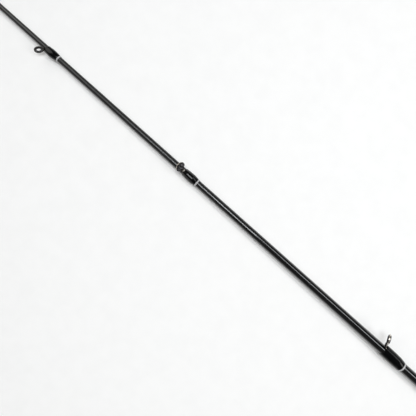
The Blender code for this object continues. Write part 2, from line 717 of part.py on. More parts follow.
def hood_mesh(name, bore, side):
    """A hood round the seat with a pocket for one end of a reel's foot, closed at the end its side gives."""
    wall_at = HOOD_LENGTH - HOOD_BACK_WALL if side > 0 else HOOD_BACK_WALL
    mouth_at = 0.0 if side > 0 else HOOD_LENGTH
    back_at = HOOD_LENGTH - mouth_at
    angles = [2 * pi * k / HOOD_SIDES for k in range(-HOOD_SIDES // 2, HOOD_SIDES // 2)]
    pocket = over_round(angles, bore, POCKET_TOP, POCKET_ROUND)
    outside = over_round(angles, bore + HOOD_WALL, POCKET_TOP + HOOD_WALL, POCKET_ROUND + HOOD_WALL)
    back_top = bore + HOOD_WALL + HOOD_BACK_RISE
    drawn_in = over_round(angles, bore + HOOD_WALL, back_top, POCKET_ROUND + HOOD_WALL)
    plain = [(angle, bore) for angle in angles]
    rings = [station(mouth_at, outside), station(wall_at, outside), station(back_at, drawn_in)]
    rings += [station(back_at, plain), station(wall_at, plain), station(wall_at, pocket)]
    rings.append(station(mouth_at, pocket))
    return loft(name, rings, True)


def sliding_hood(finishes, carrier):
    """The hood that the nut pushes along the seat."""
    mesh = hood_mesh("sliding_hood", SEAT_RADIUS + RUN_GAP, -1)
    place("sliding_hood", mesh, finishes["hood metal"], carrier, HOOD_X, SEAT_TURN)


def lock_nut(finishes, carrier):
    """The nut, with a thread that runs in the seat's."""
    root = SEAT_RADIUS - THREAD_DEPTH + THREAD_GAP
    outside = [(0.0, NUT_RADIUS - NUT_EDGE), (NUT_EDGE, NUT_RADIUS)]
    outside += [(NUT_LENGTH - NUT_EDGE, NUT_RADIUS), (NUT_LENGTH, NUT_RADIUS - NUT_EDGE)]
    rings = [station(x, circle(radius)) for x, radius in outside]
    rings += [station(x, thread_section(NUT_START + x, root))
              for x in reversed(thread_stations(0.0, NUT_LENGTH))]
    mesh = loft("lock_nut", rings, True)
    place("lock_nut", mesh, finishes["nut"], carrier, NUT_X, SEAT_TURN)


def hook_keeper(finishes, carrier):
    """A wire loop with a foot each way along the blank, and a wrap over each foot."""
    x = KEEPER_X
    reach = KEEPER_LOOP_RADIUS + KEEPER_FOOT
    level = butt_radius(x - reach) + BOND_GAP + KEEPER_WIRE / 2
    points = [(-reach, level), (-KEEPER_LOOP_RADIUS - KEEPER_WIRE, level)]
    for k in range(KEEPER_ARC_STEPS + 1):
        angle = pi * (1 - k / KEEPER_ARC_STEPS)
        height = level + KEEPER_RISE + KEEPER_LOOP_RADIUS * sin(angle)
        points.append((KEEPER_LOOP_RADIUS * cos(angle), height))
    points += [(KEEPER_LOOP_RADIUS + KEEPER_WIRE, level), (reach, level)]
    curve = bpy.data.curves.new("hook_keeper", "CURVE")
    curve.dimensions = "3D"
    curve.bevel_depth = KEEPER_WIRE / 2
    curve.bevel_resolution = WIRE_BEVEL_RESOLUTION
    curve.use_fill_caps = True
    spline = curve.splines.new("POLY")
    spline.points.add(len(points) - 1)
    for point, (along, height) in zip(spline.points, points):
        point.co = (along, 0.0, height, 1.0)
    place("hook_keeper", curve, finishes["guide metal"], carrier, x, KEEPER_TURN)
    start = KEEPER_LOOP_RADIUS + KEEPER_WIRE
    top = level + KEEPER_WIRE / 2
    heights = [(0.0, top), (KEEPER_FOOT - KEEPER_WIRE, top)]
    for side, word in ((-1, "rear"), (1, "front")):
        foot_wrap(f"hook_keeper_{word}_wrap", x + side * start, KEEPER_TURN, heights, KEEPER_WIRE / 2, side,
                  butt_radius, (FOOT_WRAP_EDGE, FOOT_WRAP_CROWN), finishes["wrap"], carrier)


def main():
    """Builds the rod: butt section and handle, reel seat, tip section and its guides."""
    clear_scene()
    finishes = {
        "blank": finish("carbon blank", (0.020, 0.021, 0.022), 0.38, 0.0),
        "wrap": finish("black wrap", (0.006, 0.008, 0.010), 0.12, 0.0),
        "trim thread": finish("silver trim thread", (0.72, 0.73, 0.74), 0.25, 1.0),
        "guide metal": finish("gunmetal frame", (0.22, 0.21, 0.21), 0.24, 1.0),
        "ring ceramic": finish("dark ring", (0.020, 0.018, 0.024), 0.10, 0.0),
        "grip foam": finish("black foam grip", (0.018, 0.018, 0.019), 0.85, 0.0),
        "cap rubber": finish("black rubber cap", (0.014, 0.014, 0.014), 0.75, 0.0),
        "aluminium": finish("silver ring", (0.70, 0.71, 0.72), 0.28, 1.0),
        "seat": finish("black seat", (0.016, 0.016, 0.018), 0.42, 0.0),
        "hood metal": finish("gunmetal hood", (0.25, 0.25, 0.26), 0.26, 1.0),
        "nut": finish("black nut", (0.020, 0.020, 0.021), 0.50, 0.0),
        "arbor": finish("buff arbor", (0.45, 0.33, 0.18), 0.90, 0.0),
    }
    butt = empty("butt_section", 0.0)
    tip = empty("tip_section", FERRULE_X)
    hood = empty("hood_carrier", HOOD_X)
    nut = empty("nut_carrier", NUT_X)
    butt_blank(finishes, butt)
    handle(finishes, butt)
    reel_seat(finishes, butt)
    sliding_hood(finishes, hood)
    lock_nut(finishes, nut)
    hook_keeper(finishes, butt)
    stripper_guide(STRIPPER, finishes, butt)
    tip_blank(finishes, tip)
    ferrule(finishes, tip)
    for guide in RUNNING_GUIDES:
        running_guide(guide, finishes, tip)
    tip_top(TIP_TOP, finishes, tip)


main()
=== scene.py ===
"""Looks of a take-apart spinning rod, seen from above as it lies on a white table.

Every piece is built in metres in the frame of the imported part: +X runs along the rod from butt to tip, +Z is
up, and an angle about the rod is measured from +Z towards -Y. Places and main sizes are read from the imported
solids, and each class adds the finer sizes of its own pieces.
"""

import json
import logging
from dataclasses import dataclass
from enum import Enum
from math import atan, atan2, cos, pi, radians, sin, sqrt, tan
from typing import Sequence

import bmesh
import bpy
import numpy as np
from mathutils import Matrix, Vector


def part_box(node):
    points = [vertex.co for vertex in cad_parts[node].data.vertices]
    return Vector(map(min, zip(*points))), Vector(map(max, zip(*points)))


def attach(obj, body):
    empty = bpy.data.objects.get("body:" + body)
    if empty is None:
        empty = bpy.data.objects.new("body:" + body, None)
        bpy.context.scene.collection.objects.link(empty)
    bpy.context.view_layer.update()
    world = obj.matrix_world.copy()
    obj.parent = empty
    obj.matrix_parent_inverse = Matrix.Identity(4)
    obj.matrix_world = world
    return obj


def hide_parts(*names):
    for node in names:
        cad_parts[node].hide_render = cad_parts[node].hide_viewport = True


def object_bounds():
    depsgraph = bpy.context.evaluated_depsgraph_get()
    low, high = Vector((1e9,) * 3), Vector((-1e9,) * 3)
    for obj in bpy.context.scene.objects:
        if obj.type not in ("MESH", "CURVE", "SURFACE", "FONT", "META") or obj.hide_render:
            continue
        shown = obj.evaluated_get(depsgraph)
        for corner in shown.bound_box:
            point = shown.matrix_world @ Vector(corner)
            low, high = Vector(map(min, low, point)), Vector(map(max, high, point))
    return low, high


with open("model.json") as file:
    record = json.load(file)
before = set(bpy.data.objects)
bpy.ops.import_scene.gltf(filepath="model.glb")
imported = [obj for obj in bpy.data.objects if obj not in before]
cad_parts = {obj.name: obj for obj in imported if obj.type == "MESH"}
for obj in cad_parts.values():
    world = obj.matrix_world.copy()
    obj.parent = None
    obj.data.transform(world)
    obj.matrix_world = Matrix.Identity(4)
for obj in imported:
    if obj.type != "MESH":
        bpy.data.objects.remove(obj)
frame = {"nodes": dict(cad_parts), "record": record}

LOG = logging.getLogger("spinning_rod")
CAD_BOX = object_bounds()
BEHAVIOUR = frame["record"]["behaviour"]
BODY_OF = {node: body for body, nodes in BEHAVIOUR["bodies"].items() for node in nodes}
BLANK_OF = {"butt_section": "butt_blank", "tip_section": "tip_blank"}

# Stations that agree to this many decimals of a metre belong to one section.
STATION_DIGITS = 5

# A face looks outward or inward where more than this share of its normal is radial.
OUTWARD_SHARE = 0.2

SHARP_ANGLE = radians(38.0)
ROUND_SIDES = 72
EDGE_SEGMENTS = 3

# A profile's corner, unless nearly flat, becomes a curve of so many steps over at most this share of a side.
CORNER_STEPS = 4
CORNER_SHARE = 0.45
STRAIGHT_ENOUGH = radians(14.0)

# The crown of a guide's hoop lies more than this share of the ring's radius above the ring's centre.
CROWN_SHARE = 0.6

# The usual spread of a noise's values, and where a ramp between two colours starts and ends.
NOISE_SPREAD = (0.3, 0.7)
RAMP_STOPS = (0.32, 0.68)

# Shares of a foot's length, its leg's width and the sheet's thickness, from the bend to the foot's end.
FOOT_OUTLINE = ((0.0, 1.0, 1.0), (0.12, 1.0, 1.0), (0.55, 0.85, 0.8), (1.0, 0.5, 0.4))

Colour = tuple[float, float, float]
Outline = list[tuple[float, float]]
Socket = bpy.types.NodeSocket
Piece = bpy.types.Object


class Slot(Enum):
    """The record's material slots."""

    BLANK = "blank"
    WRAP = "wrap"
    TRIM = "trim_thread"
    FRAME = "guide_metal"
    RING = "ring_ceramic"
    GRIP = "grip_foam"
    CAP = "cap_rubber"
    SILVER = "silver_ring"
    SEAT = "seat"
    HOOD = "hood_metal"
    NUT = "nut"
    ARBOR = "arbor"


class Grain(Enum):
    """Which way a metal's fine tool marks run, as the stretch of their noise along X, Y and Z."""

    ALONG = (30.0, 1.0, 1.0)
    AROUND = (1.0, 30.0, 30.0)
    TUMBLED = (1.0, 1.0, 1.0)


class ShaderTree:
    """A material's nodes, with short ways to add and join them."""

    def __init__(self, name: str) -> None:
        """Starts a material with one Principled shader.

        Args:
            name: The material's name.
        """
        self.material = bpy.data.materials.new(name)
        self.material.use_nodes = True
        self.nodes = self.material.node_tree.nodes
        self.links = self.material.node_tree.links
        self.shader = self.nodes["Principled BSDF"]
        self.place = self.nodes.new("ShaderNodeTexCoord").outputs["Object"]

    def feed(self, socket: Socket, value: object) -> None:
        """Joins a socket to another one, or sets its value.

        Args:
            socket: The input.
            value: A socket to join, or the value itself.
        """
        if isinstance(value, bpy.types.NodeSocket):
            self.links.new(value, socket)
        else:
            socket.default_value = value

    def add(self, kind: str, inputs: dict, **settings: str) -> bpy.types.Node:
        """Adds a node.

        Args:
            kind: Its type.
            inputs: Values or sockets by the input's name or number.
            settings: Its other properties.

        Returns:
            The node.
        """
        node = self.nodes.new(kind)
        for key, value in settings.items():
            setattr(node, key, value)
        for key, value in inputs.items():
            self.feed(node.inputs[key], value)
        return node

    def paint(self, values: dict) -> None:
        """Sets or joins inputs of the Principled shader, by name."""
        for key, value in values.items():
            self.feed(self.shader.inputs[key], value)

    def math(self, operation: str, *values: object) -> Socket:
        """The result of a Math node on these values or sockets."""
        return self.add("ShaderNodeMath", dict(enumerate(values)), operation=operation).outputs[0]

    def noise(self, size: float, detail: float, stretch: Sequence[float] = (1.0, 1.0, 1.0)) -> Socket:
        """Soft noise in the rod's own coordinates.

        Args:
            size: About how large its marks are, in metres.
            detail: How many finer layers it has.
            stretch: How many times longer the marks are along X, Y and Z.

        Returns:
            Its value, from 0 to 1.
        """
        scale = tuple(1.0 / (size * share) for share in stretch)
        mapped = self.add("ShaderNodeMapping", {"Vector": self.place, "Scale": scale}).outputs[0]
        return self.add("ShaderNodeTexNoise", {"Vector": mapped, "Scale": 1.0, "Detail": detail}).outputs[0]

    def span(self, value: Socket, low: float, high: float, to_low: float, to_high: float) -> Socket:
        """A value's stretch from low to high, carried over to another stretch.

        Args:
            value: The value.
            low: Where its own stretch starts.
            high: Where it ends.
            to_low: What low becomes.
            to_high: What high becomes.

        Returns:
            The new value, kept within its stretch.
        """
        inputs = {"Value": value, "From Min": low, "From Max": high, "To Min": to_low, "To Max": to_high}
        return self.add("ShaderNodeMapRange", inputs).outputs[0]

    def uneven(self, noise: Socket, low: float, high: float) -> Socket:
        """A noise's usual spread, carried over to the stretch from low to high."""
        return self.span(noise, *NOISE_SPREAD, low, high)

    def ramp(self, value: Socket, dark: Colour, light: Colour) -> Socket:
        """A colour between two, over the middle of a value from 0 to 1.

        Args:
            value: The value.
            dark: The colour at its low end.
            light: The colour at its high end.

        Returns:
            The colour.
        """
        node = self.add("ShaderNodeValToRGB", {"Fac": value})
        for element, position, colour in zip(node.color_ramp.elements, RAMP_STOPS, (dark, light)):
            element.position = position
            element.color = (*colour, 1.0)
        return node.outputs[0]

    def bump(self, height: Socket, depth: float, over: Socket | None = None) -> Socket:
        """A surface raised by a height.

        Args:
            height: From 0 to 1.
            depth: How far 1 stands up, in metres.
            over: The surface under it, if that is raised too.

        Returns:
            The raised surface's normal.
        """
        inputs = {"Height": height, "Distance": depth}
        if over is not None:
            inputs["Normal"] = over
        return self.add("ShaderNodeBump", inputs).outputs[0]

    def off_turn(self, pitch: float) -> Socket:
        """How far each point lies from the nearest turn of a spiral round the rod.

        Args:
            pitch: How far the spiral goes along the rod in one turn.

        Returns:
            That distance as a share of the pitch, from 0 on the turn to 0.5 midway.
        """
        parts = self.add("ShaderNodeSeparateXYZ", {0: self.place}).outputs
        angle = self.math("ARCTAN2", parts[1], parts[2])
        turns = self.math("MULTIPLY_ADD", angle, 1.0 / (2.0 * pi), self.math("DIVIDE", parts[0], pitch))
        return self.math("PINGPONG", turns, 0.5)


@dataclass(frozen=True)
class Finish:
    """What every finish has: a name, the record's slot if it has one, two tones and two roughnesses."""

    name: str
    slot: Slot | None
    dark: Colour
    light: Colour
    smooth: float
    rough: float

    def work(self, tree: ShaderTree) -> None:
        """Sets up the shader. Each kind of finish has its own way."""
        raise NotImplementedError

    def material(self) -> bpy.types.Material:
        """The finish as a material, made at its first use.

        Returns:
            The material.
        """
        found = bpy.data.materials.get(self.name)
        if found is None:
            tree = ShaderTree(self.name)
            self.work(tree)
            found = tree.material
        return found


@dataclass(frozen=True)
class SatinCarbon(Finish):
    """Carbon cloth with the spiral of its winding tape, under a clear coat that thins towards the tip."""

    bare_gloss: float = 0.75
    coated_gloss: float = 0.04
    tape_pitch: float = 0.0021
    tape_edge: float = 0.16
    tape_step: float = 0.000022
    mottle: float = 0.0016
    fibre: float = 0.00025
    fibre_height: float = 0.000004
    coat_full: float = 1.27
    coat_gone: float = 1.41
    coat_patch: float = 0.9

    def work(self, tree: ShaderTree) -> None:
        """Works charcoal with tape marks, a mottled sheen, short fibres and the coat's patchy end.

        Args:
            tree: The material's nodes.
        """
        step = tree.span(tree.off_turn(self.tape_pitch), 0.0, self.tape_edge, 1.0, 0.0)
        mottle = tree.noise(self.mottle, detail=3.0, stretch=(2.2, 1.0, 1.0))
        fibre = tree.noise(self.fibre, detail=2.0, stretch=(9.0, 1.0, 1.0))
        taped = tree.bump(step, self.tape_step)
        along = tree.add("ShaderNodeSeparateXYZ", {0: tree.place}).outputs[0]
        half_patch = self.coat_patch / 2
        thinning = tree.span(along, self.coat_full, self.coat_gone, 1.0 + half_patch, -half_patch)
        scatter = tree.span(mottle, 0.0, 1.0, -self.coat_patch, self.coat_patch)
        patchy = tree.math("ADD", thinning, scatter)
        tree.paint({
            "Base Color": tree.ramp(mottle, self.dark, self.light),
            "Roughness": tree.uneven(mottle, self.smooth, self.rough),
            "Specular IOR Level": tree.span(patchy, 0.0, 1.0, self.bare_gloss, self.coated_gloss),
            "Normal": tree.bump(fibre, self.fibre_height, over=taped),
            "Coat Weight": tree.span(patchy, 0.0, 1.0, 0.0, 1.0),
            "Coat Roughness": 0.08,
            "Coat IOR": 1.65,
        })


@dataclass(frozen=True)
class EpoxyWrap(Finish):
    """Black thread, wound tight, under a clear coat of gloss epoxy."""

    thread: float = 0.00021
    groove: float = 0.000020
    swell: float = 0.0028
    swell_height: float = 0.00004

    def work(self, tree: ShaderTree) -> None:
        """Works thread lines below, and a coat that swells a little above them.

        Args:
            tree: The material's nodes.
        """
        patch = tree.noise(self.swell, detail=2.0)
        tree.paint({
            "Base Color": tree.ramp(patch, self.dark, self.light),
            "Roughness": tree.uneven(patch, self.smooth, self.rough),
            "Specular IOR Level": 0.03,
            "Normal": tree.bump(tree.off_turn(self.thread), self.groove),
            "Coat Weight": 1.0,
            "Coat Roughness": 0.08,
            "Coat IOR": 1.30,
            "Coat Normal": tree.bump(patch, self.swell_height),
        })


@dataclass(frozen=True)
class SilverThread(Finish):
    """Bright metallic thread."""

    twist: float = 0.0003
    twist_height: float = 0.00002

    def work(self, tree: ShaderTree) -> None:
        """Works the uneven gleam of a twisted foil thread.

        Args:
            tree: The material's nodes.
        """
        twist = tree.noise(self.twist, detail=2.0, stretch=(1.0, 2.0, 2.0))
        tree.paint({
            "Base Color": tree.ramp(twist, self.dark, self.light),
            "Metallic": 0.35,
            "Roughness": tree.uneven(twist, self.smooth, self.rough),
            "Normal": tree.bump(twist, self.twist_height),
        })


@dataclass(frozen=True)
class WorkedMetal(Finish):
    """Bare or plated metal with fine tool marks and a slightly uneven tone."""

    grain: Grain = Grain.TUMBLED
    mark: float = 0.00012
    mark_depth: float = 0.000004
    drift: float = 14.0

    def work(self, tree: ShaderTree) -> None:
        """Works metal whose tone drifts and whose gleam is broken by its tool marks.

        Args:
            tree: The material's nodes.
        """
        drift = tree.noise(self.mark * self.drift, detail=2.0, stretch=self.grain.value)
        marks = tree.noise(self.mark, detail=3.0, stretch=self.grain.value)
        tree.paint({
            "Base Color": tree.ramp(drift, self.dark, self.light),
            "Metallic": 1.0,
            "Roughness": tree.uneven(marks, self.smooth, self.rough),
            "Normal": tree.bump(marks, self.mark_depth),
        })


@dataclass(frozen=True)
class PolishedCeramic(Finish):
    """The hard dark ring that the line runs through."""

    pore: float = 0.0004
    pore_depth: float = 0.000002

    def work(self, tree: ShaderTree) -> None:
        """Works dense dark ceramic with a high polish and faint cloudiness.

        Args:
            tree: The material's nodes.
        """
        cloud = tree.noise(self.pore, detail=3.0)
        tree.paint({
            "Base Color": tree.ramp(cloud, self.dark, self.light),
            "Roughness": tree.uneven(cloud, self.smooth, self.rough),
            "IOR": 1.6,
            "Normal": tree.bump(cloud, self.pore_depth),
        })


@dataclass(frozen=True)
class FineFoam(Finish):
    """Closed-cell foam, ground smooth."""

    cell: float = 0.0007
    cell_depth: float = 0.00008
    rub: float = 0.012

    def work(self, tree: ShaderTree) -> None:
        """Works matt black with open cells and a faint sheen from handling.

        Args:
            tree: The material's nodes.
        """
        scale = 1.0 / self.cell
        cells = tree.add("ShaderNodeTexVoronoi", {"Vector": tree.place, "Scale": scale}).outputs["Distance"]
        rub = tree.noise(self.rub, detail=3.0, stretch=(2.0, 1.0, 1.0))
        tree.paint({
            "Base Color": tree.ramp(rub, self.dark, self.light),
            "Roughness": tree.uneven(rub, self.smooth, self.rough),
            "Specular IOR Level": 0.3,
            "Normal": tree.bump(cells, self.cell_depth),
        })


@dataclass(frozen=True)
class Moulded(Finish):
    """Moulded plastic or rubber with a fine grain from its mould."""

    grain: float = 0.00035
    grain_depth: float = 0.000012
    wear: float = 0.009

    def work(self, tree: ShaderTree) -> None:
        """Works a grained surface, worn a little brighter and smoother in patches.

        Args:
            tree: The material's nodes.
        """
        grain = tree.noise(self.grain, detail=2.0)
        wear = tree.noise(self.wear, detail=4.0)
        tree.paint({
            "Base Color": tree.ramp(wear, self.dark, self.light),
            "Roughness": tree.uneven(wear, self.rough, self.smooth),
            "Normal": tree.bump(grain, self.grain_depth),
        })


CARBON = SatinCarbon("satin_carbon", Slot.BLANK, dark=(0.0020, 0.0021, 0.0023),
                     light=(0.0052, 0.0054, 0.0060), smooth=0.28, rough=0.38)
WRAP = EpoxyWrap("black_wrap_epoxy", Slot.WRAP, dark=(0.0003, 0.0004, 0.0006),
                 light=(0.0010, 0.0013, 0.0017), smooth=0.40, rough=0.55)
SILVER_THREAD = SilverThread("silver_trim_thread", Slot.TRIM, dark=(0.46, 0.46, 0.47),
                             light=(0.70, 0.70, 0.71), smooth=0.34, rough=0.52)
FRAME_METAL = WorkedMetal("gunmetal_frame", Slot.FRAME, dark=(0.020, 0.019, 0.017),
                          light=(0.042, 0.039, 0.035), smooth=0.14, rough=0.26)
# A pale copy of the frame metal for the sheet's rim faces: its light tone is a painted highlight along the
# frames' edges.
FRAME_RIM_HIGHLIGHT = WorkedMetal("painted_highlight_frame_rim", Slot.FRAME, dark=(0.60, 0.56, 0.50),
                         light=(0.78, 0.73, 0.66), smooth=0.18, rough=0.32)
CERAMIC = PolishedCeramic("dark_ring_ceramic", Slot.RING, dark=(0.010, 0.009, 0.012),
                          light=(0.024, 0.021, 0.028), smooth=0.16, rough=0.28)
FOAM = FineFoam("black_grip_foam", Slot.GRIP, dark=(0.010, 0.010, 0.011),
                light=(0.026, 0.026, 0.027), smooth=0.74, rough=0.95)
CAP_RUBBER = Moulded("black_cap_rubber", Slot.CAP, dark=(0.008, 0.008, 0.008),
                     light=(0.017, 0.017, 0.017), smooth=0.6, rough=0.8)
SILVER = WorkedMetal("turned_silver", Slot.SILVER, dark=(0.60, 0.61, 0.62),
                     light=(0.78, 0.79, 0.80), smooth=0.16, rough=0.34, grain=Grain.AROUND)
SEAT_PLASTIC = Moulded("black_seat_plastic", Slot.SEAT, dark=(0.010, 0.010, 0.011),
                       light=(0.022, 0.022, 0.024), smooth=0.34, rough=0.52)
HOOD_METAL = WorkedMetal("brushed_gunmetal", Slot.HOOD, dark=(0.20, 0.20, 0.21),
                         light=(0.26, 0.26, 0.27), smooth=0.20, rough=0.34, grain=Grain.ALONG)
NUT_PLASTIC = Moulded("black_nut_plastic", Slot.NUT, dark=(0.012, 0.012, 0.013),
                      light=(0.026, 0.026, 0.028), smooth=0.42, rough=0.6)
ARBOR = Moulded("buff_arbor", Slot.ARBOR, dark=(0.36, 0.25, 0.13),
                light=(0.50, 0.37, 0.21), smooth=0.85, rough=0.95, grain=0.0012, grain_depth=0.0001)
TABLE = Moulded("white_table", None, dark=(0.925, 0.925, 0.925),
                light=(0.945, 0.945, 0.945), smooth=0.9, rough=0.95, grain=0.002, grain_depth=0.00001)


def node_points(node: str) -> np.ndarray:
    """A CAD node's points, one row each."""
    return np.array([vertex.co for vertex in frame["nodes"][node].data.vertices])


class NodeShape:
    """A CAD node's points about the rod's axis, parted into those of its outside and those of its bore."""

    def __init__(self, node: str) -> None:
        """Reads the node's faces, and sorts their points by which way the faces look.

        Args:
            node: The node's name.
        """
        mesh = frame["nodes"][node].data
        outward: set[int] = set()
        inward: set[int] = set()
        for face in mesh.polygons:
            radial = Vector((0.0, face.center.y, face.center.z)).normalized()
            facing = face.normal.dot(radial)
            if facing > OUTWARD_SHARE:
                outward.update(face.vertices)
            elif facing < -OUTWARD_SHARE:
                inward.update(face.vertices)
        points = node_points(node)
        self.outside = self.polar(points[sorted(outward)])
        self.bore = self.polar(points[sorted(inward)]) if inward else self.outside[:0]

    @staticmethod
    def polar(points: np.ndarray) -> np.ndarray:
        """Rows of station, angle and radius for these points."""
        x, y, z = points.T
        return np.column_stack((np.round(x, STATION_DIGITS), np.arctan2(-y, z), np.hypot(y, z)))

    @staticmethod
    def widest(rows: np.ndarray) -> Outline:
        """The largest radius at each station."""
        return [(x, rows[rows[:, 0] == x, 2].max()) for x in np.unique(rows[:, 0])]

    @property
    def outline(self) -> Outline:
        """The largest radius of the outside at each station."""
        return self.widest(self.outside)

    @property
    def hollow(self) -> Outline:
        """The largest radius of the bore at each station."""
        return self.widest(self.bore)

    @staticmethod
    def section(rows: np.ndarray, x: float, angles: np.ndarray) -> np.ndarray:
        """Radii of a section, carried over to other angles.

        Args:
            rows: Points of the outside or the bore.
            x: The section's station.
            angles: Where the radii are wanted.

        Returns:
            A radius for each angle.
        """
        found = rows[rows[:, 0] == x]
        found = found[np.argsort(found[:, 1])]
        return np.interp(angles, found[:, 1], found[:, 2], period=2.0 * pi)


def radius_at(outline: Outline, x: float | np.ndarray) -> float | np.ndarray:
    """Radius of an outline at a station, or at several."""
    stations, radii = np.array(outline).T
    return np.interp(x, stations, radii)


def even_angles(sides: int) -> np.ndarray:
    """Angles of an even ring round the rod."""
    return np.linspace(-pi, pi, sides, endpoint=False)


def ring_at(x: float, radius: float | np.ndarray, angles: np.ndarray) -> np.ndarray:
    """Points round the rod.

    Args:
        x: Their station.
        radius: One radius, or one for each angle.
        angles: Where they lie.

    Returns:
        One row for each point.
    """
    radii = np.broadcast_to(radius, angles.shape)
    return np.column_stack((np.full_like(angles, x), -radii * np.sin(angles), radii * np.cos(angles)))


def softened(radii: np.ndarray, times: int) -> np.ndarray:
    """Radii evened out with their neighbours round the rod.

    Args:
        radii: One radius for each angle, for one section or for several.
        times: How often they are evened out.

    Returns:
        The softer radii.
    """
    for _ in range(times):
        radii = (np.roll(radii, 1, -1) + 2 * radii + np.roll(radii, -1, -1)) / 4
    return radii


def placed(name: str, data: bpy.types.ID) -> Piece:
    """Puts a new object into the scene.

    Args:
        name: Its name.
        data: Its mesh, curve, light or camera.

    Returns:
        The new object.
    """
    made = bpy.data.objects.new(name, data)
    bpy.context.scene.collection.objects.link(made)
    return made


def new_piece(name: str, mesh: bpy.types.Mesh) -> Piece:
    """Puts a mesh into the scene, with outward normals and smooth shading between its sharp edges.

    Args:
        name: The piece's name.
        mesh: Its mesh.

    Returns:
        The new object.
    """
    bm = bmesh.new()
    bm.from_mesh(mesh)
    bmesh.ops.recalc_face_normals(bm, faces=bm.faces)
    bm.to_mesh(mesh)
    bm.free()
    mesh.shade_smooth()
    mesh.set_sharp_from_angle(angle=SHARP_ANGLE)
    return placed(name, mesh)


def loft(name: str, rings: Sequence[np.ndarray], tube: bool) -> Piece:
    """A skin through rings of equal count.

    Args:
        name: The piece's name.
        rings: Points of each ring.
        tube: Whether the last ring joins the first; otherwise both are capped.

    Returns:
        The new object.
    """
    count = len(rings[0])
    faces = []
    for row in range(len(rings) if tube else len(rings) - 1):
        here = row * count
        there = (row + 1) % len(rings) * count
        for k in range(count):
            n = (k + 1) % count
            faces.append((here + k, here + n, there + n, there + k))
    if not tube:
        faces.append(tuple(range(count)))
        faces.append(tuple(range(len(rings) * count - count, len(rings) * count)))
    mesh = bpy.data.meshes.new(name)
    mesh.from_pydata(np.concatenate(rings).tolist(), [], faces)
    return new_piece(name, mesh)


def eased(profile: Outline, edge: float, closed: bool) -> Outline:
    """A profile with its corners turned into short curves.

    Args:
        profile: Its points.
        edge: How far each curve reaches along both sides of its corner.
        closed: Whether the last point joins the first.

    Returns:
        The points of the rounded profile.
    """
    points = [Vector(point) for point in profile]
    rounded: list[Vector] = []
    for k, corner in enumerate(points):
        if not closed and k in (0, len(points) - 1):
            rounded.append(corner)
            continue
        before = points[k - 1] - corner
        after = points[(k + 1) % len(points)] - corner
        if pi - before.angle(after) < STRAIGHT_ENOUGH:
            rounded.append(corner)
            continue
        start = corner + before.normalized() * min(edge, before.length * CORNER_SHARE)
        end = corner + after.normalized() * min(edge, after.length * CORNER_SHARE)
        for step in range(CORNER_STEPS + 1):
            share = step / CORNER_STEPS
            rounded.append(start.lerp(corner, share).lerp(corner.lerp(end, share), share))
    return [tuple(point) for point in rounded]


def flowing(outline: Outline, count: int) -> Outline:
    """An outline through more stations, on a smooth curve through its own.

    Args:
        outline: Stations and radii.
        count: How many stations the result has.

    Returns:
        The finer outline.
    """
    stations, radii = np.array(outline).T
    slopes = np.gradient(radii, stations)
    fine = np.linspace(stations[0], stations[-1], count)
    left = np.clip(np.searchsorted(stations, fine, side="right") - 1, 0, len(stations) - 2)
    gap = stations[left + 1] - stations[left]
    t = (fine - stations[left]) / gap
    curve = (1 + 2 * t) * (1 - t) ** 2 * radii[left] + t * (1 - t) ** 2 * gap * slopes[left]
    curve += t ** 2 * (3 - 2 * t) * radii[left + 1] + t ** 2 * (t - 1) * gap * slopes[left + 1]
    return list(zip(fine, curve))


def turned(name: str, profile: Outline, tube: bool) -> Piece:
    """A piece turned about the rod's axis.

    Args:
        name: The piece's name.
        profile: Stations and radii along its skin.
        tube: Whether the profile's last point joins its first; otherwise both ends are capped.

    Returns:
        The new object.
    """
    angles = even_angles(ROUND_SIDES)
    return loft(name, [ring_at(x, radius, angles) for x, radius in profile], tube)


def sleeve(name: str, outside: Outline, bore: Outline, edge: float) -> Piece:
    """A turned tube with rounded edges.

    Args:
        name: The piece's name.
        outside: Its outside, from the butt towards the tip.
        bore: Its bore, in the same order.
        edge: How far its edges are rounded.

    Returns:
        The new object.
    """
    return turned(name, eased(outside + bore[::-1], edge, True), True)


def dress(piece: Piece, finish: Finish, *nodes: str) -> Piece:
    """Finishes a piece, and lets it ride on and stand for CAD nodes.

    Args:
        piece: The piece.
        finish: Its finish.
        nodes: The nodes that it stands for, all on one body.

    Returns:
        The piece.
    """
    piece.data.materials.append(finish.material())
    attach(piece, BODY_OF[nodes[0]])
    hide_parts(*nodes)
    LOG.info("%s rides on %s", piece.name, BODY_OF[nodes[0]])
    return piece


def rounded_edges(piece: Piece, width: float) -> None:
    """Rounds a piece's sharp edges.

    Args:
        piece: The piece.
        width: How far each edge is cut back.
    """
    bevel = piece.modifiers.new("rounded edges", "BEVEL")
    bevel.width = width
    bevel.segments = EDGE_SEGMENTS
    bevel.limit_method = "ANGLE"
    bevel.angle_limit = SHARP_ANGLE
    bevel.harden_normals = True


@dataclass(frozen=True)
class Blank:
    """One section's tapering carbon tube."""

    node: str
    lip: float = 0.00015

    def build(self) -> Piece:
        """Builds the tube: open at both ends, or closed at the tip where its bore ends inside.

        Returns:
            The tube.
        """
        shape = NodeShape(self.node)
        outside = shape.outline
        bore = shape.hollow
        if bore[-1][0] < outside[-1][0]:
            tube = turned(f"{self.node}_tube", eased(outside[::-1] + bore, self.lip, False), False)
        else:
            tube = sleeve(f"{self.node}_tube", outside, bore, self.lip)
        return dress(tube, CARBON, self.node)


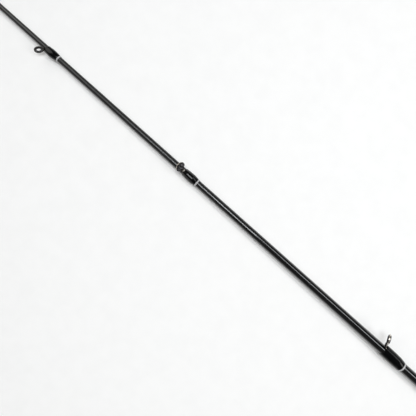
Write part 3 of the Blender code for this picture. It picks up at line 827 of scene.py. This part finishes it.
@dataclass(frozen=True)
class ThreadWrap:
    """A thread wrap under epoxy, thinning to the blank at both ends."""

    node: str
    stations: int = 40
    lip: float = 0.0006
    lip_height: float = 0.00003
    softening: int = 12
    side_softening: int = 4
    sway: float = 0.000018
    sway_length: float = 0.0043

    def build(self) -> Piece:
        """Builds the wrap over what lies under it.

        Returns:
            The wrap.
        """
        shape = NodeShape(self.node)
        blank = NodeShape(BLANK_OF[BODY_OF[self.node]])
        under = blank.outline
        angles = even_angles(ROUND_SIDES)
        known = np.unique(shape.outside[:, 0])
        rows = np.array([shape.section(shape.outside, x, angles) for x in known])
        fine = np.linspace(known[0], known[-1], self.stations)
        skin = np.array([np.interp(fine, known, column) for column in rows.T]).T
        for _ in range(self.softening):
            skin[1:-1] = (skin[:-2] + 2 * skin[1:-1] + skin[2:]) / 4
        rings = []
        for x, radii in zip(fine, softened(skin, self.side_softening)):
            floor = radius_at(under, x) + self.lip_height
            near_end = min(1.0, min(x - fine[0], fine[-1] - x) / self.lip)
            rise = sqrt(1.0 - (1.0 - near_end) ** 2)
            sway = self.sway * sin(2.0 * pi * x / self.sway_length) * rise
            rings.append(ring_at(x, floor + (radii - floor) * rise + sway, angles))
        for x in (fine[-1], fine[0]):
            rings.append(ring_at(x, radius_at(under, x), angles))
        return dress(loft(f"{self.node}_epoxy", rings, True), WRAP, self.node)


@dataclass(frozen=True)
class TrimBand:
    """A few turns of silver thread laid side by side."""

    node: str
    threads: int = 4
    steps: int = 5

    def build(self) -> Piece:
        """Builds the band with a ridge for each turn of thread.

        Returns:
            The band.
        """
        shape = NodeShape(self.node)
        (start, first), (end, last) = shape.outline
        pitch = (end - start) / self.threads
        ridge = pitch / 2
        outside = []
        for thread in range(self.threads):
            for step in range(self.steps + 1 if thread == self.threads - 1 else self.steps):
                along = (thread + step / self.steps) / self.threads
                crest = sin(pi * step / self.steps)
                radius = first + (last - first) * along
                outside.append((start + (end - start) * along, radius - ridge * (1.0 - crest)))
        band = turned(f"{self.node}_threads", outside + shape.hollow[::-1], True)
        return dress(band, SILVER_THREAD, self.node)


@dataclass(frozen=True)
class TrimmedWrap:
    """A thread wrap that ends in a silver band."""

    name: str

    def build(self) -> list[Piece]:
        """Builds the wrap and its band."""
        return [ThreadWrap(f"{self.name}_wrap").build(), TrimBand(f"{self.name}_trim").build()]


def upright(turn: float) -> Matrix:
    """The turn about the rod that carries an upright guide to its place."""
    return Matrix.Rotation(turn, 4, "X")


def stood_up(points: np.ndarray, turn: float) -> np.ndarray:
    """Points of a guide that is turned about the rod, carried back to where it stands upright."""
    return points @ np.array(upright(-turn).to_3x3()).T


def middle_and_turn(points: np.ndarray) -> tuple[np.ndarray, float]:
    """The middle of some points' box, and how far that is turned about the rod from upright."""
    middle = (points.min(0) + points.max(0)) / 2
    return middle, atan2(-middle[1], middle[2])


@dataclass(frozen=True)
class RingSize:
    """A guide ring's place and sizes, with its guide turned upright."""

    turn: float
    centre: Vector
    lean: float
    hole: float
    outer: float
    depth: float

    @classmethod
    def read(cls, node: str) -> "RingSize":
        """Measures a ring.

        Args:
            node: Its CAD node.

        Returns:
            What was measured.
        """
        points = node_points(node)
        middle, turn = middle_and_turn(points)
        stood = stood_up(points - middle, turn)
        axis = np.linalg.svd(stood, full_matrices=False)[2][2]
        axis = axis * np.sign(axis[0])
        along = stood @ axis
        across = np.linalg.norm(stood - np.outer(along, axis), axis=1)
        centre = Vector(stood_up(middle, turn))
        return cls(turn, centre, atan2(-axis[2], axis[0]), across.min(), across.max(), np.ptp(along))

    @property
    def up(self) -> Vector:
        """The way from the blank to the ring, in the ring's own plane."""
        return Vector((sin(self.lean), 0.0, cos(self.lean)))

    @property
    def through(self) -> Vector:
        """The way that the line runs through the ring, towards the tip."""
        return Vector((cos(self.lean), 0.0, -sin(self.lean)))

    def at(self, radius: float, angle: float, along: float = 0.0) -> Vector:
        """A point of the upright ring, by its angle from the bottom and its place along the line.

        Args:
            radius: Distance from the ring's centre.
            angle: Angle from the ring's bottom.
            along: How far it lies towards the tip.

        Returns:
            The point.
        """
        side = Vector((0.0, 1.0, 0.0)) * sin(angle)
        return self.centre + (side - self.up * cos(angle)) * radius + self.through * along


@dataclass(frozen=True)
class GuideRing:
    """The hard ring, with a round throat."""

    node: str
    sides: int = 64
    flank: float = 0.8
    throat: float = 0.55
    steps: int = 10

    def build(self) -> Piece:
        """Builds the ring.

        Returns:
            The ring.
        """
        size = RingSize.read(self.node)
        wall = size.outer - size.hole
        half = size.depth / 2
        section = [(size.outer, half * self.flank), (size.outer, -half * self.flank)]
        for step in range(self.steps + 1):
            angle = pi * (step / self.steps - 0.5)
            section.append((size.hole + wall * self.throat * (1.0 - cos(angle)), half * sin(angle)))
        place = upright(size.turn)
        rings = []
        for k in range(self.sides):
            around = 2.0 * pi * k / self.sides
            rings.append(np.array([place @ size.at(radius, around, along) for radius, along in section]))
        return dress(loft(f"{self.node}_polished", rings, True), CERAMIC, self.node)


@dataclass(frozen=True)
class FrameSize:
    """A stamped frame's sizes, with its guide turned upright."""

    hoop_outer: float
    level: float
    sheet: float
    bend: float
    foot: float
    leg_width: float
    spread: float

    @classmethod
    def read(cls, node: str, ring: RingSize) -> "FrameSize":
        """Measures a frame that has a foot along the blank.

        Args:
            node: Its CAD node.
            ring: The ring in its hoop.

        Returns:
            What was measured.
        """
        stood = stood_up(node_points(node), ring.turn)
        away = stood - np.array(ring.centre)
        along = away @ np.array(ring.through)
        across = np.linalg.norm(away - np.outer(along, np.array(ring.through)), axis=1)
        crown = (away @ np.array(ring.up) > ring.outer * CROWN_SHARE) & (np.abs(along) < ring.depth)
        sheet = np.ptp(along[crown])
        level = stood[:, 2].min() + sheet / 2
        low = stood[stood[:, 2] < level + sheet]
        bend = ring.centre.x - (ring.centre.z - level) * tan(ring.lean)
        foot = bend - low[:, 0].min()
        front = low[:, 0].max()
        spread = front - foot - bend if front > bend + foot / 2 else 0.0
        return cls(across[crown].max(), level, sheet, bend, foot, 2.0 * np.abs(low[:, 1]).max(), spread)


@dataclass(frozen=True)
class StampedFrame:
    """A guide's frame, stamped from sheet: hoop, dished leg, foot, and braces where it has two feet."""

    node: str
    ring: str
    edge: Finish
    sides: int = 48
    columns: int = 8
    leg_rows: int = 6
    waist: float = 0.08
    dish: float = 1.1
    press_gap: float = 0.00003
    edge_share: float = 0.30

    def build(self) -> Piece:
        """Builds the frame from the sizes of its CAD node.

        Returns:
            The frame.
        """
        ring = RingSize.read(self.ring)
        return self.stamp(ring, FrameSize.read(self.node, ring), f"{self.node}_stamping")

    def stamp(self, ring: RingSize, size: FrameSize, name: str) -> Piece:
        """Builds a frame of given sizes.

        Args:
            ring: The ring in its hoop.
            size: The frame's sizes.
            name: The piece's name.

        Returns:
            The frame.
        """
        bm = bmesh.new()
        outer = self.hoop(bm, ring, size.hoop_outer)
        inner = self.hoop(bm, ring, ring.outer + self.press_gap)
        self.skin(bm, [outer + outer[:1], inner + inner[:1]])
        half = self.columns // 2
        arc = [outer[k] for k in range(-half, half + 1)]
        rear = self.foot_rows(bm, size, size.bend, -1)
        self.skin(bm, [arc] + self.leg(bm, ring, size, arc, rear[0]) + rear)
        if size.spread:
            front = self.foot_rows(bm, size, size.bend + size.spread, 1)
            self.skin(bm, front)
            side = self.sides // 4
            quarter = self.columns // 4
            self.skin(bm, [outer[side:side + quarter + 1], front[0][-quarter - 1:]])
            self.skin(bm, [outer[-side - quarter:-side + 1], front[0][:quarter + 1]])
        bm.transform(upright(ring.turn))
        mesh = bpy.data.meshes.new(name)
        bm.to_mesh(mesh)
        bm.free()
        piece = new_piece(name, mesh)
        sheet = piece.modifiers.new("sheet", "SOLIDIFY")
        sheet.thickness = size.sheet
        sheet.vertex_group = piece.vertex_groups.new(name="sheet").name
        sheet.offset = 0.0
        sheet.use_even_offset = True
        sheet.use_quality_normals = True
        # The rim faces take the frame's second material, its edge finish, which paints a highlight on most
        # guides.
        sheet.material_offset_rim = 1
        rounded_edges(piece, size.sheet * self.edge_share)
        dress(piece, FRAME_METAL, self.node)
        # The edge finish: the pale metal of the painted highlight, or plain frame metal.
        piece.data.materials.append(self.edge.material())
        return piece

    @staticmethod
    def point(bm: bmesh.types.BMesh, place: Sequence[float], thickness: float = 1.0) -> bmesh.types.BMVert:
        """Adds a vertex to the sheet.

        Args:
            bm: The mesh.
            place: Where the vertex lies.
            thickness: What share of its thickness the sheet has there.

        Returns:
            The vertex.
        """
        weights = bm.verts.layers.deform.verify()
        vertex = bm.verts.new(place)
        vertex[weights][0] = thickness
        return vertex

    def hoop(self, bm: bmesh.types.BMesh, ring: RingSize, radius: float) -> list[bmesh.types.BMVert]:
        """Points of a ring round the hoop's centre, from its bottom."""
        return [self.point(bm, ring.at(radius, 2.0 * pi * k / self.sides)) for k in range(self.sides)]

    def leg(self, bm: bmesh.types.BMesh, ring: RingSize, size: FrameSize, arc: list, bend: list) -> list:
        """Rows of the leg between the hoop and the bend, drawn in at its middle and dished towards the tip.

        Args:
            bm: The mesh.
            ring: The ring in its hoop.
            size: The frame's sizes.
            arc: The hoop's vertices that the leg starts from.
            bend: The vertices where it bends into the foot.

        Returns:
            The rows, from the hoop down.
        """
        rows = []
        for row in range(1, self.leg_rows):
            share = row / self.leg_rows
            swell = sin(pi * share)
            deep = size.sheet * self.dish * sqrt(swell)
            made = []
            for column, (high, low) in enumerate(zip(arc, bend)):
                point = high.co.lerp(low.co, share)
                point.y *= 1.0 - self.waist * swell
                crest = cos(pi * (column / self.columns - 0.5))
                made.append(self.point(bm, point + ring.through * (deep * crest)))
            rows.append(made)
        return rows

    def foot_rows(self, bm: bmesh.types.BMesh, size: FrameSize, bend: float, side: int) -> list:
        """Rows of a foot, from its bend to its end, which is ground narrow and thin.

        Args:
            bm: The mesh.
            size: The frame's sizes.
            bend: Where the foot starts.
            side: Which way it runs: -1 towards the butt, 1 towards the tip.

        Returns:
            The rows.
        """
        rows = []
        for share, width, thickness in FOOT_OUTLINE:
            half = size.leg_width * width / 2
            x = bend + side * size.foot * share
            z = size.level - size.sheet * (1.0 - thickness) / 2
            across = np.linspace(-half, half, self.columns + 1)
            rows.append([self.point(bm, (x, y, z), thickness) for y in across])
        return rows

    @staticmethod
    def skin(bm: bmesh.types.BMesh, rows: list) -> None:
        """Adds the faces between rows of vertices.

        Args:
            bm: The mesh.
            rows: The rows, equally long.
        """
        for row, after in zip(rows, rows[1:]):
            for k in range(len(row) - 1):
                bm.faces.new((row[k], row[k + 1], after[k + 1], after[k]))


@dataclass(frozen=True)
class LineGuide:
    """A wrapped guide: its frame, ring, and the wrap and silver band at each foot."""

    name: str
    feet: tuple[str, ...] = ("",)
    # The rim's finish: by default the pale metal that paints a highlight along the frame's edges.
    edge: Finish = FRAME_RIM_HIGHLIGHT

    def build(self) -> list[Piece]:
        """Builds the guide.

        Returns:
            Its pieces.
        """
        ring = f"{self.name}_ring"
        pieces = [StampedFrame(f"{self.name}_frame", ring, self.edge).build(), GuideRing(ring).build()]
        for foot in self.feet:
            pieces += TrimmedWrap(f"{self.name}{foot}").build()
        return pieces


@dataclass(frozen=True)
class TipTop:
    """The guide at the rod's tip: a sleeve on the blank, a hoop brazed to it, a ring and a short wrap."""

    sheet: float = 0.0005
    bite: float = 0.0002
    foot: float = 0.0062
    leg_width: float = 0.0014
    nose: float = 1.7
    edge: float = 0.00022

    def build(self) -> list[Piece]:
        """Builds the tip-top.

        Returns:
            Its pieces.
        """
        ring = RingSize.read("tip_top_ring")
        points = node_points("tip_top_frame")
        start = points[:, 0].min()
        mouth = points[points[:, 0] < start + self.bite]
        radii = np.hypot(mouth[:, 1], mouth[:, 2])
        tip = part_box("tip_blank")[1].x
        bore, outside = radii.min(), radii.max()
        nose = tip + (outside - bore) * self.nose
        profile = [(nose, bore), (tip, outside), (start, outside), (start, bore)]
        profile.append((tip + self.bite / 2, bore))
        tube = turned("tip_top_sleeve", eased(profile, self.edge, False), False)
        level = outside - self.bite + self.sheet / 2
        bend = ring.centre.x - (ring.centre.z - level) * tan(ring.lean)
        top = stood_up(points, ring.turn)[:, 2].max()
        hoop_outer = (top - ring.centre.z - self.sheet / 2 * sin(ring.lean)) / cos(ring.lean)
        size = FrameSize(hoop_outer, level, self.sheet, bend, self.foot, self.leg_width, 0.0)
        hoop = StampedFrame("tip_top_frame", "tip_top_ring", FRAME_METAL).stamp(ring, size, "tip_top_hoop")
        pieces = [dress(tube, FRAME_METAL, "tip_top_frame"), hoop]
        return pieces + [GuideRing("tip_top_ring").build(), ThreadWrap("tip_top_wrap").build()]


@dataclass(frozen=True)
class Handle:
    """Butt cap, foam grips, turned rings, winding check, and the wrap and band in front of them."""

    cap_edge: float = 0.0013
    grip_edge: float = 0.0007
    ring_edge: float = 0.0004
    grip_stations: int = 44

    def build(self) -> list[Piece]:
        """Builds the handle.

        Returns:
            Its pieces.
        """
        pieces = [self.cap()]
        for node in ("rear_grip", "fore_grip"):
            shape = NodeShape(node)
            outside = flowing(shape.outline, self.grip_stations)
            grip = sleeve(f"{node}_foam", outside, shape.hollow, self.grip_edge)
            pieces.append(dress(grip, FOAM, node))
        for node in ("rear_trim_ring", "fore_trim_ring", "winding_check"):
            shape = NodeShape(node)
            ring = sleeve(f"{node}_turned", shape.outline, shape.hollow, self.ring_edge)
            pieces.append(dress(ring, SILVER, node))
        return pieces + TrimmedWrap("handle").build()

    def cap(self) -> Piece:
        """Builds the rubber cap, with a flat end and a pocket for the blank.

        Returns:
            The cap.
        """
        shape = NodeShape("butt_cap")
        profile = eased(shape.outline + shape.hollow[::-1], self.cap_edge, False)
        return dress(turned("butt_cap_rubber", profile, False), CAP_RUBBER, "butt_cap")


@dataclass(frozen=True)
class ScrewThread:
    """The reel seat's right-hand screw, with its pitch from the coupling of nut and hood."""

    steps: int = 10

    @property
    def pitch(self) -> float:
        """How far the nut goes in one turn."""
        return BEHAVIOUR["couplings"][0]["ratio"] * 2.0 * pi

    def rings(self, stations: np.ndarray, angles: np.ndarray, root: float, depth: float) -> list[np.ndarray]:
        """Rings along the thread, which has a crest on the side that the pockets face where the seat starts.

        Args:
            stations: Where the rings lie.
            angles: Where their points lie.
            root: Radius at the thread's root.
            depth: How far its crest stands above that.

        Returns:
            The rings.
        """
        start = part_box("reel_seat_body")[0].x
        made = []
        for x in stations:
            wave = (1.0 + np.cos(2.0 * pi * (x - start) / self.pitch - (angles - pi / 2))) / 2
            made.append(ring_at(x, root + depth * wave, angles))
        return made

    def stations(self, start: float, end: float) -> np.ndarray:
        """Stations along a stretch of thread, several to a turn."""
        return np.linspace(start, end, round((end - start) / self.pitch * self.steps) + 1)


@dataclass(frozen=True)
class ReelSeat:
    """The seat's body with its screw and flat, both hoods, the nut, and the arbors inside."""

    hood_sides: int = 120
    hood_softening: int = 2
    hood_edge: float = 0.00028
    body_edge: float = 0.0002
    nut_sides: int = 216
    nut_flutes: int = 18
    flute_depth: float = 0.00045
    nut_round: float = 0.0008
    nut_round_steps: int = 5

    def build(self) -> list[Piece]:
        """Builds the reel seat.

        Returns:
            Its pieces.
        """
        for node in ("rear_arbor", "front_arbor"):
            arbor = frame["nodes"][node]
            arbor.data.materials.clear()
            arbor.data.materials.append(ARBOR.material())
            LOG.info("%s keeps its own solid", node)
        return [self.body(), self.hood("fixed_hood"), self.hood("sliding_hood"), self.nut()]

    def body(self) -> Piece:
        """Builds the body: its screw, then the sections in front of it.

        Returns:
            The body.
        """
        shape = NodeShape("reel_seat_body")
        thread = ScrewThread()
        angles = even_angles(ROUND_SIDES)
        known = np.unique(shape.outside[:, 0])
        sections = {x: shape.section(shape.outside, x, angles) for x in known}
        root = sections[known[0]].min()
        crest = max(radii.max() for radii in sections.values())
        plain_from = min(x for x in known if sections[x].min() > crest - self.body_edge)
        cut = [x for x in known if x < plain_from and np.ptp(sections[x]) > self.body_edge]
        rings = [ring_at(known[0], root, angles)]
        rings += thread.rings(thread.stations(cut[0], cut[-1]), angles, root, crest - root)
        rings += [ring_at(x, sections[x], angles) for x in known if x >= plain_from]
        bore = shape.hollow
        rings += [ring_at(x, radius, angles) for x, radius in (bore[-1], bore[0])]
        return dress(loft("reel_seat_moulding", rings, True), SEAT_PLASTIC, "reel_seat_body")

    def hood(self, node: str) -> Piece:
        """Builds a hood from the sections of its CAD node.

        Args:
            node: The node.

        Returns:
            The hood.
        """
        shape = NodeShape(node)
        angles = even_angles(self.hood_sides)
        first, wall, last = np.unique(shape.outside[:, 0])
        deep = {x: shape.section(shape.bore, x, angles).max() for x in (first, last)}
        mouth, back = (first, last) if deep[first] > deep[last] else (last, first)
        sections = [(shape.outside, mouth, mouth), (shape.outside, wall, wall), (shape.outside, back, back),
                    (shape.bore, back, back), (shape.bore, back, wall), (shape.bore, mouth, wall),
                    (shape.bore, mouth, mouth)]
        rings = []
        for rows, known, x in sections:
            radii = softened(shape.section(rows, known, angles), self.hood_softening)
            rings.append(ring_at(x, radii, angles))
        piece = loft(f"{node}_pressing", rings, True)
        rounded_edges(piece, self.hood_edge)
        return dress(piece, HOOD_METAL, node)

    def nut(self) -> Piece:
        """Builds the nut, fluted outside and threaded inside.

        Returns:
            The nut.
        """
        shape = NodeShape("lock_nut")
        low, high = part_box("lock_nut")
        radius = shape.outside[:, 2].max()
        root = shape.bore[:, 2].min()
        depth = shape.bore[:, 2].max() - root
        angles = even_angles(self.nut_sides)
        flutes = (1.0 + np.cos(angles * self.nut_flutes)) / 2
        corner = []
        for step in range(self.nut_round_steps + 1):
            angle = pi / 2 * step / self.nut_round_steps
            reach = radius - self.nut_round * (1.0 - cos(angle))
            corner.append((low.x + self.nut_round * (1.0 - sin(angle)), reach))
        rings = []
        for x, reach in corner[::-1] + [(low.x + high.x - x, reach) for x, reach in corner]:
            fade = min(1.0, min(x - low.x, high.x - x) / self.nut_round)
            rings.append(ring_at(x, reach - self.flute_depth * fade * flutes, angles))
        thread = ScrewThread()
        rings += thread.rings(thread.stations(low.x, high.x)[::-1], angles, root, depth)
        return dress(loft("lock_nut_moulding", rings, True), NUT_PLASTIC, "lock_nut")


@dataclass(frozen=True)
class HookKeeper:
    """A small wire loop with a foot each way, and a wrap over each foot."""

    arc_points: int = 7
    bevel_steps: int = 4
    loop_clear: float = 2.5
    shoulder: float = 0.25

    def build(self) -> list[Piece]:
        """Builds the keeper.

        Returns:
            Its pieces.
        """
        points = node_points("hook_keeper")
        middle, turn = middle_and_turn(points)
        stood = stood_up(points, turn)
        wire = np.ptp(stood[:, 1])
        level = stood[:, 2].min() + wire / 2
        high = stood[stood[:, 2] > level + self.loop_clear * wire]
        radius = np.ptp(high[:, 0]) / 2 - wire / 2
        rise = stood[:, 2].max() - wire / 2 - radius
        reach = np.ptp(stood[:, 0]) / 2
        shoulder = (-radius - wire, level + self.shoulder * wire)
        foot = [(-reach, level), (-reach / 2 - radius / 2, level), shoulder]
        arc = []
        for k in range(self.arc_points):
            angle = pi * (1.0 - k / (self.arc_points - 1))
            arc.append((radius * cos(angle), rise + radius * sin(angle)))
        path = foot + arc + [(-along, height) for along, height in foot[::-1]]
        curve = bpy.data.curves.new("hook_keeper_wire", "CURVE")
        curve.dimensions = "3D"
        curve.bevel_depth = wire / 2
        curve.bevel_resolution = self.bevel_steps
        curve.use_fill_caps = True
        spline = curve.splines.new("BEZIER")
        spline.bezier_points.add(len(path) - 1)
        place = upright(turn)
        for knot, (along, height) in zip(spline.bezier_points, path):
            knot.co = place @ Vector((middle[0] + along, 0.0, height))
            knot.handle_left_type = "AUTO"
            knot.handle_right_type = "AUTO"
        pieces = [dress(placed("hook_keeper_wire", curve), FRAME_METAL, "hook_keeper")]
        return pieces + [ThreadWrap(f"hook_keeper_{end}_wrap").build() for end in ("rear", "front")]


@dataclass(frozen=True)
class StudioLight:
    """What every light has: a name, its place from the point that it faces, its strength and its colour."""

    name: str
    offset: tuple[float, float, float]
    strength: float
    colour: Colour

    def source(self) -> bpy.types.Light:
        """The light itself. Each kind has its own."""
        raise NotImplementedError

    def hang(self, aim: Vector) -> None:
        """Hangs the light and points it, with its length along the rod.

        Args:
            aim: The point that it faces.
        """
        data = self.source()
        data.energy = self.strength
        data.color = self.colour
        lamp = placed(self.name, data)
        lamp.location = aim + Vector(self.offset)
        back = Vector(self.offset).normalized()
        along = (Vector((1.0, 0.0, 0.0)) - back * back.x).normalized()
        lamp.rotation_euler = Matrix((along, back.cross(along), back)).transposed().to_euler()


@dataclass(frozen=True)
class PanelLamp(StudioLight):
    """A soft panel lamp."""

    length: float
    width: float

    def source(self) -> bpy.types.Light:
        """Makes a lit rectangle.

        Returns:
            The light.
        """
        data = bpy.data.lights.new(self.name, "AREA")
        data.shape = "RECTANGLE"
        data.size = self.length
        data.size_y = self.width
        return data


@dataclass(frozen=True)
class Daylight(StudioLight):
    """Even, soft light from one side, as from a large and distant window."""

    spread: float

    def source(self) -> bpy.types.Light:
        """Makes a distant light of a given spread.

        Returns:
            The light.
        """
        data = bpy.data.lights.new(self.name, "SUN")
        data.angle = self.spread
        return data


@dataclass(frozen=True)
class Studio:
    """Table, lamps, world and camera, set as the photograph was taken."""

    image_pixels: float = 416.0
    focal_pixels: float = 417.0
    camera_height: float = 0.275
    aim: tuple[float, float] = (1.3437, 0.0074)
    # How the rod runs in the picture, to the right and up.
    rod_run: tuple[float, float] = (-0.744, 0.668)
    table_side: float = 80.0
    wall_colour: Colour = (1.0, 0.97, 0.94)
    wall_light: float = 0.36
    ceiling_light: float = 0.08
    wall_top: float = 0.5
    near_clip: float = 0.01
    next_rest: float = 0.1
    lights: tuple[StudioLight, ...] = (
        PanelLamp("window", (-0.50, -0.42, 1.00), 3.2, (0.95, 0.98, 1.0), length=0.75, width=0.20),
        PanelLamp("ceiling", (0.05, -0.07, 1.00), 4.3, (0.95, 0.98, 1.0), length=0.42, width=0.24),
        PanelLamp("bench", (-1.50, -0.25, 1.20), 6.0, (1.0, 0.98, 0.95), length=0.70, width=0.60),
        Daylight("daylight", (1.90, -0.25, 1.70), 1.32, (1.0, 0.98, 0.95), spread=radians(50.0)),
    )

    def set_up(self) -> None:
        """Sets the table, the light and the camera."""
        bpy.context.scene.view_settings.view_transform = "Standard"
        self.table()
        self.world()
        aim = Vector((*self.aim, 0.0))
        for light in self.lights:
            light.hang(aim)
        self.camera(aim)

    def table(self) -> None:
        """Lays the table under the rod, where it touches the butt cap and the next low piece."""
        points = np.concatenate([node_points(node) for node in frame["nodes"]])
        heel = points[np.lexsort((-points[:, 0], np.round(points[:, 2], STATION_DIGITS)))[0]]
        ahead = points[points[:, 0] > heel[0] + self.next_rest]
        slope = ((ahead[:, 2] - heel[2]) / (ahead[:, 0] - heel[0])).min()
        centre = (CAD_BOX[0] + CAD_BOX[1]) / 2
        half = self.table_side / 2
        corners = [(centre.x + i * half, j * half) for i, j in ((-1, -1), (1, -1), (1, 1), (-1, 1))]
        lifted = [(x, y, heel[2] + slope * (x - heel[0])) for x, y in corners]
        mesh = bpy.data.meshes.new("table")
        mesh.from_pydata(lifted, [], [(0, 1, 2, 3)])
        mesh.materials.append(TABLE.material())
        placed("table", mesh)

    def world(self) -> None:
        """Fills the room with light from pale walls under a darker ceiling."""
        world = bpy.data.worlds.new("room")
        world.use_nodes = True
        nodes = world.node_tree.nodes
        links = world.node_tree.links
        background = nodes["Background"]
        background.inputs["Color"].default_value = (*self.wall_colour, 1.0)
        height = nodes.new("ShaderNodeSeparateXYZ")
        fall = nodes.new("ShaderNodeMapRange")
        fall.inputs["From Max"].default_value = self.wall_top
        fall.inputs["To Min"].default_value = self.wall_light
        fall.inputs["To Max"].default_value = self.ceiling_light
        links.new(nodes.new("ShaderNodeTexCoord").outputs["Generated"], height.inputs[0])
        links.new(height.outputs["Z"], fall.inputs["Value"])
        links.new(fall.outputs[0], background.inputs["Strength"])
        bpy.context.scene.world = world

    def camera(self, aim: Vector) -> None:
        """Hangs the camera straight above the rod and turns it as the picture was turned.

        Args:
            aim: The point below it.
        """
        data = bpy.data.cameras.new("camera")
        data.angle = 2.0 * atan(self.image_pixels / 2.0 / self.focal_pixels)
        data.clip_start = self.near_clip
        camera = placed("camera", data)
        camera.location = aim + Vector((0.0, 0.0, self.camera_height))
        camera.rotation_euler = (0.0, 0.0, atan2(-self.rod_run[1], self.rod_run[0]))
        bpy.context.scene.camera = camera


def main() -> None:
    """Builds the rod from butt to tip, then the studio."""
    logging.basicConfig(level=logging.INFO, format="%(message)s")
    pieces = Handle().build() + ReelSeat().build() + HookKeeper().build()
    pieces += [Blank("butt_blank").build(), Blank("tip_blank").build()]
    pieces += LineGuide("stripper_guide", ("_rear", "_front")).build() + TrimmedWrap("ferrule").build()
    for number in (5, 4, 3):
        pieces += LineGuide(f"guide_{number}").build()
    # The two guides nearest the tip keep dark rims, without the painted highlight.
    for number in (2, 1):
        pieces += LineGuide(f"guide_{number}", edge=FRAME_METAL).build()
    pieces += TipTop().build()
    LOG.info("%d pieces", len(pieces))
    Studio().set_up()


if __name__ == "__main__":
    main()
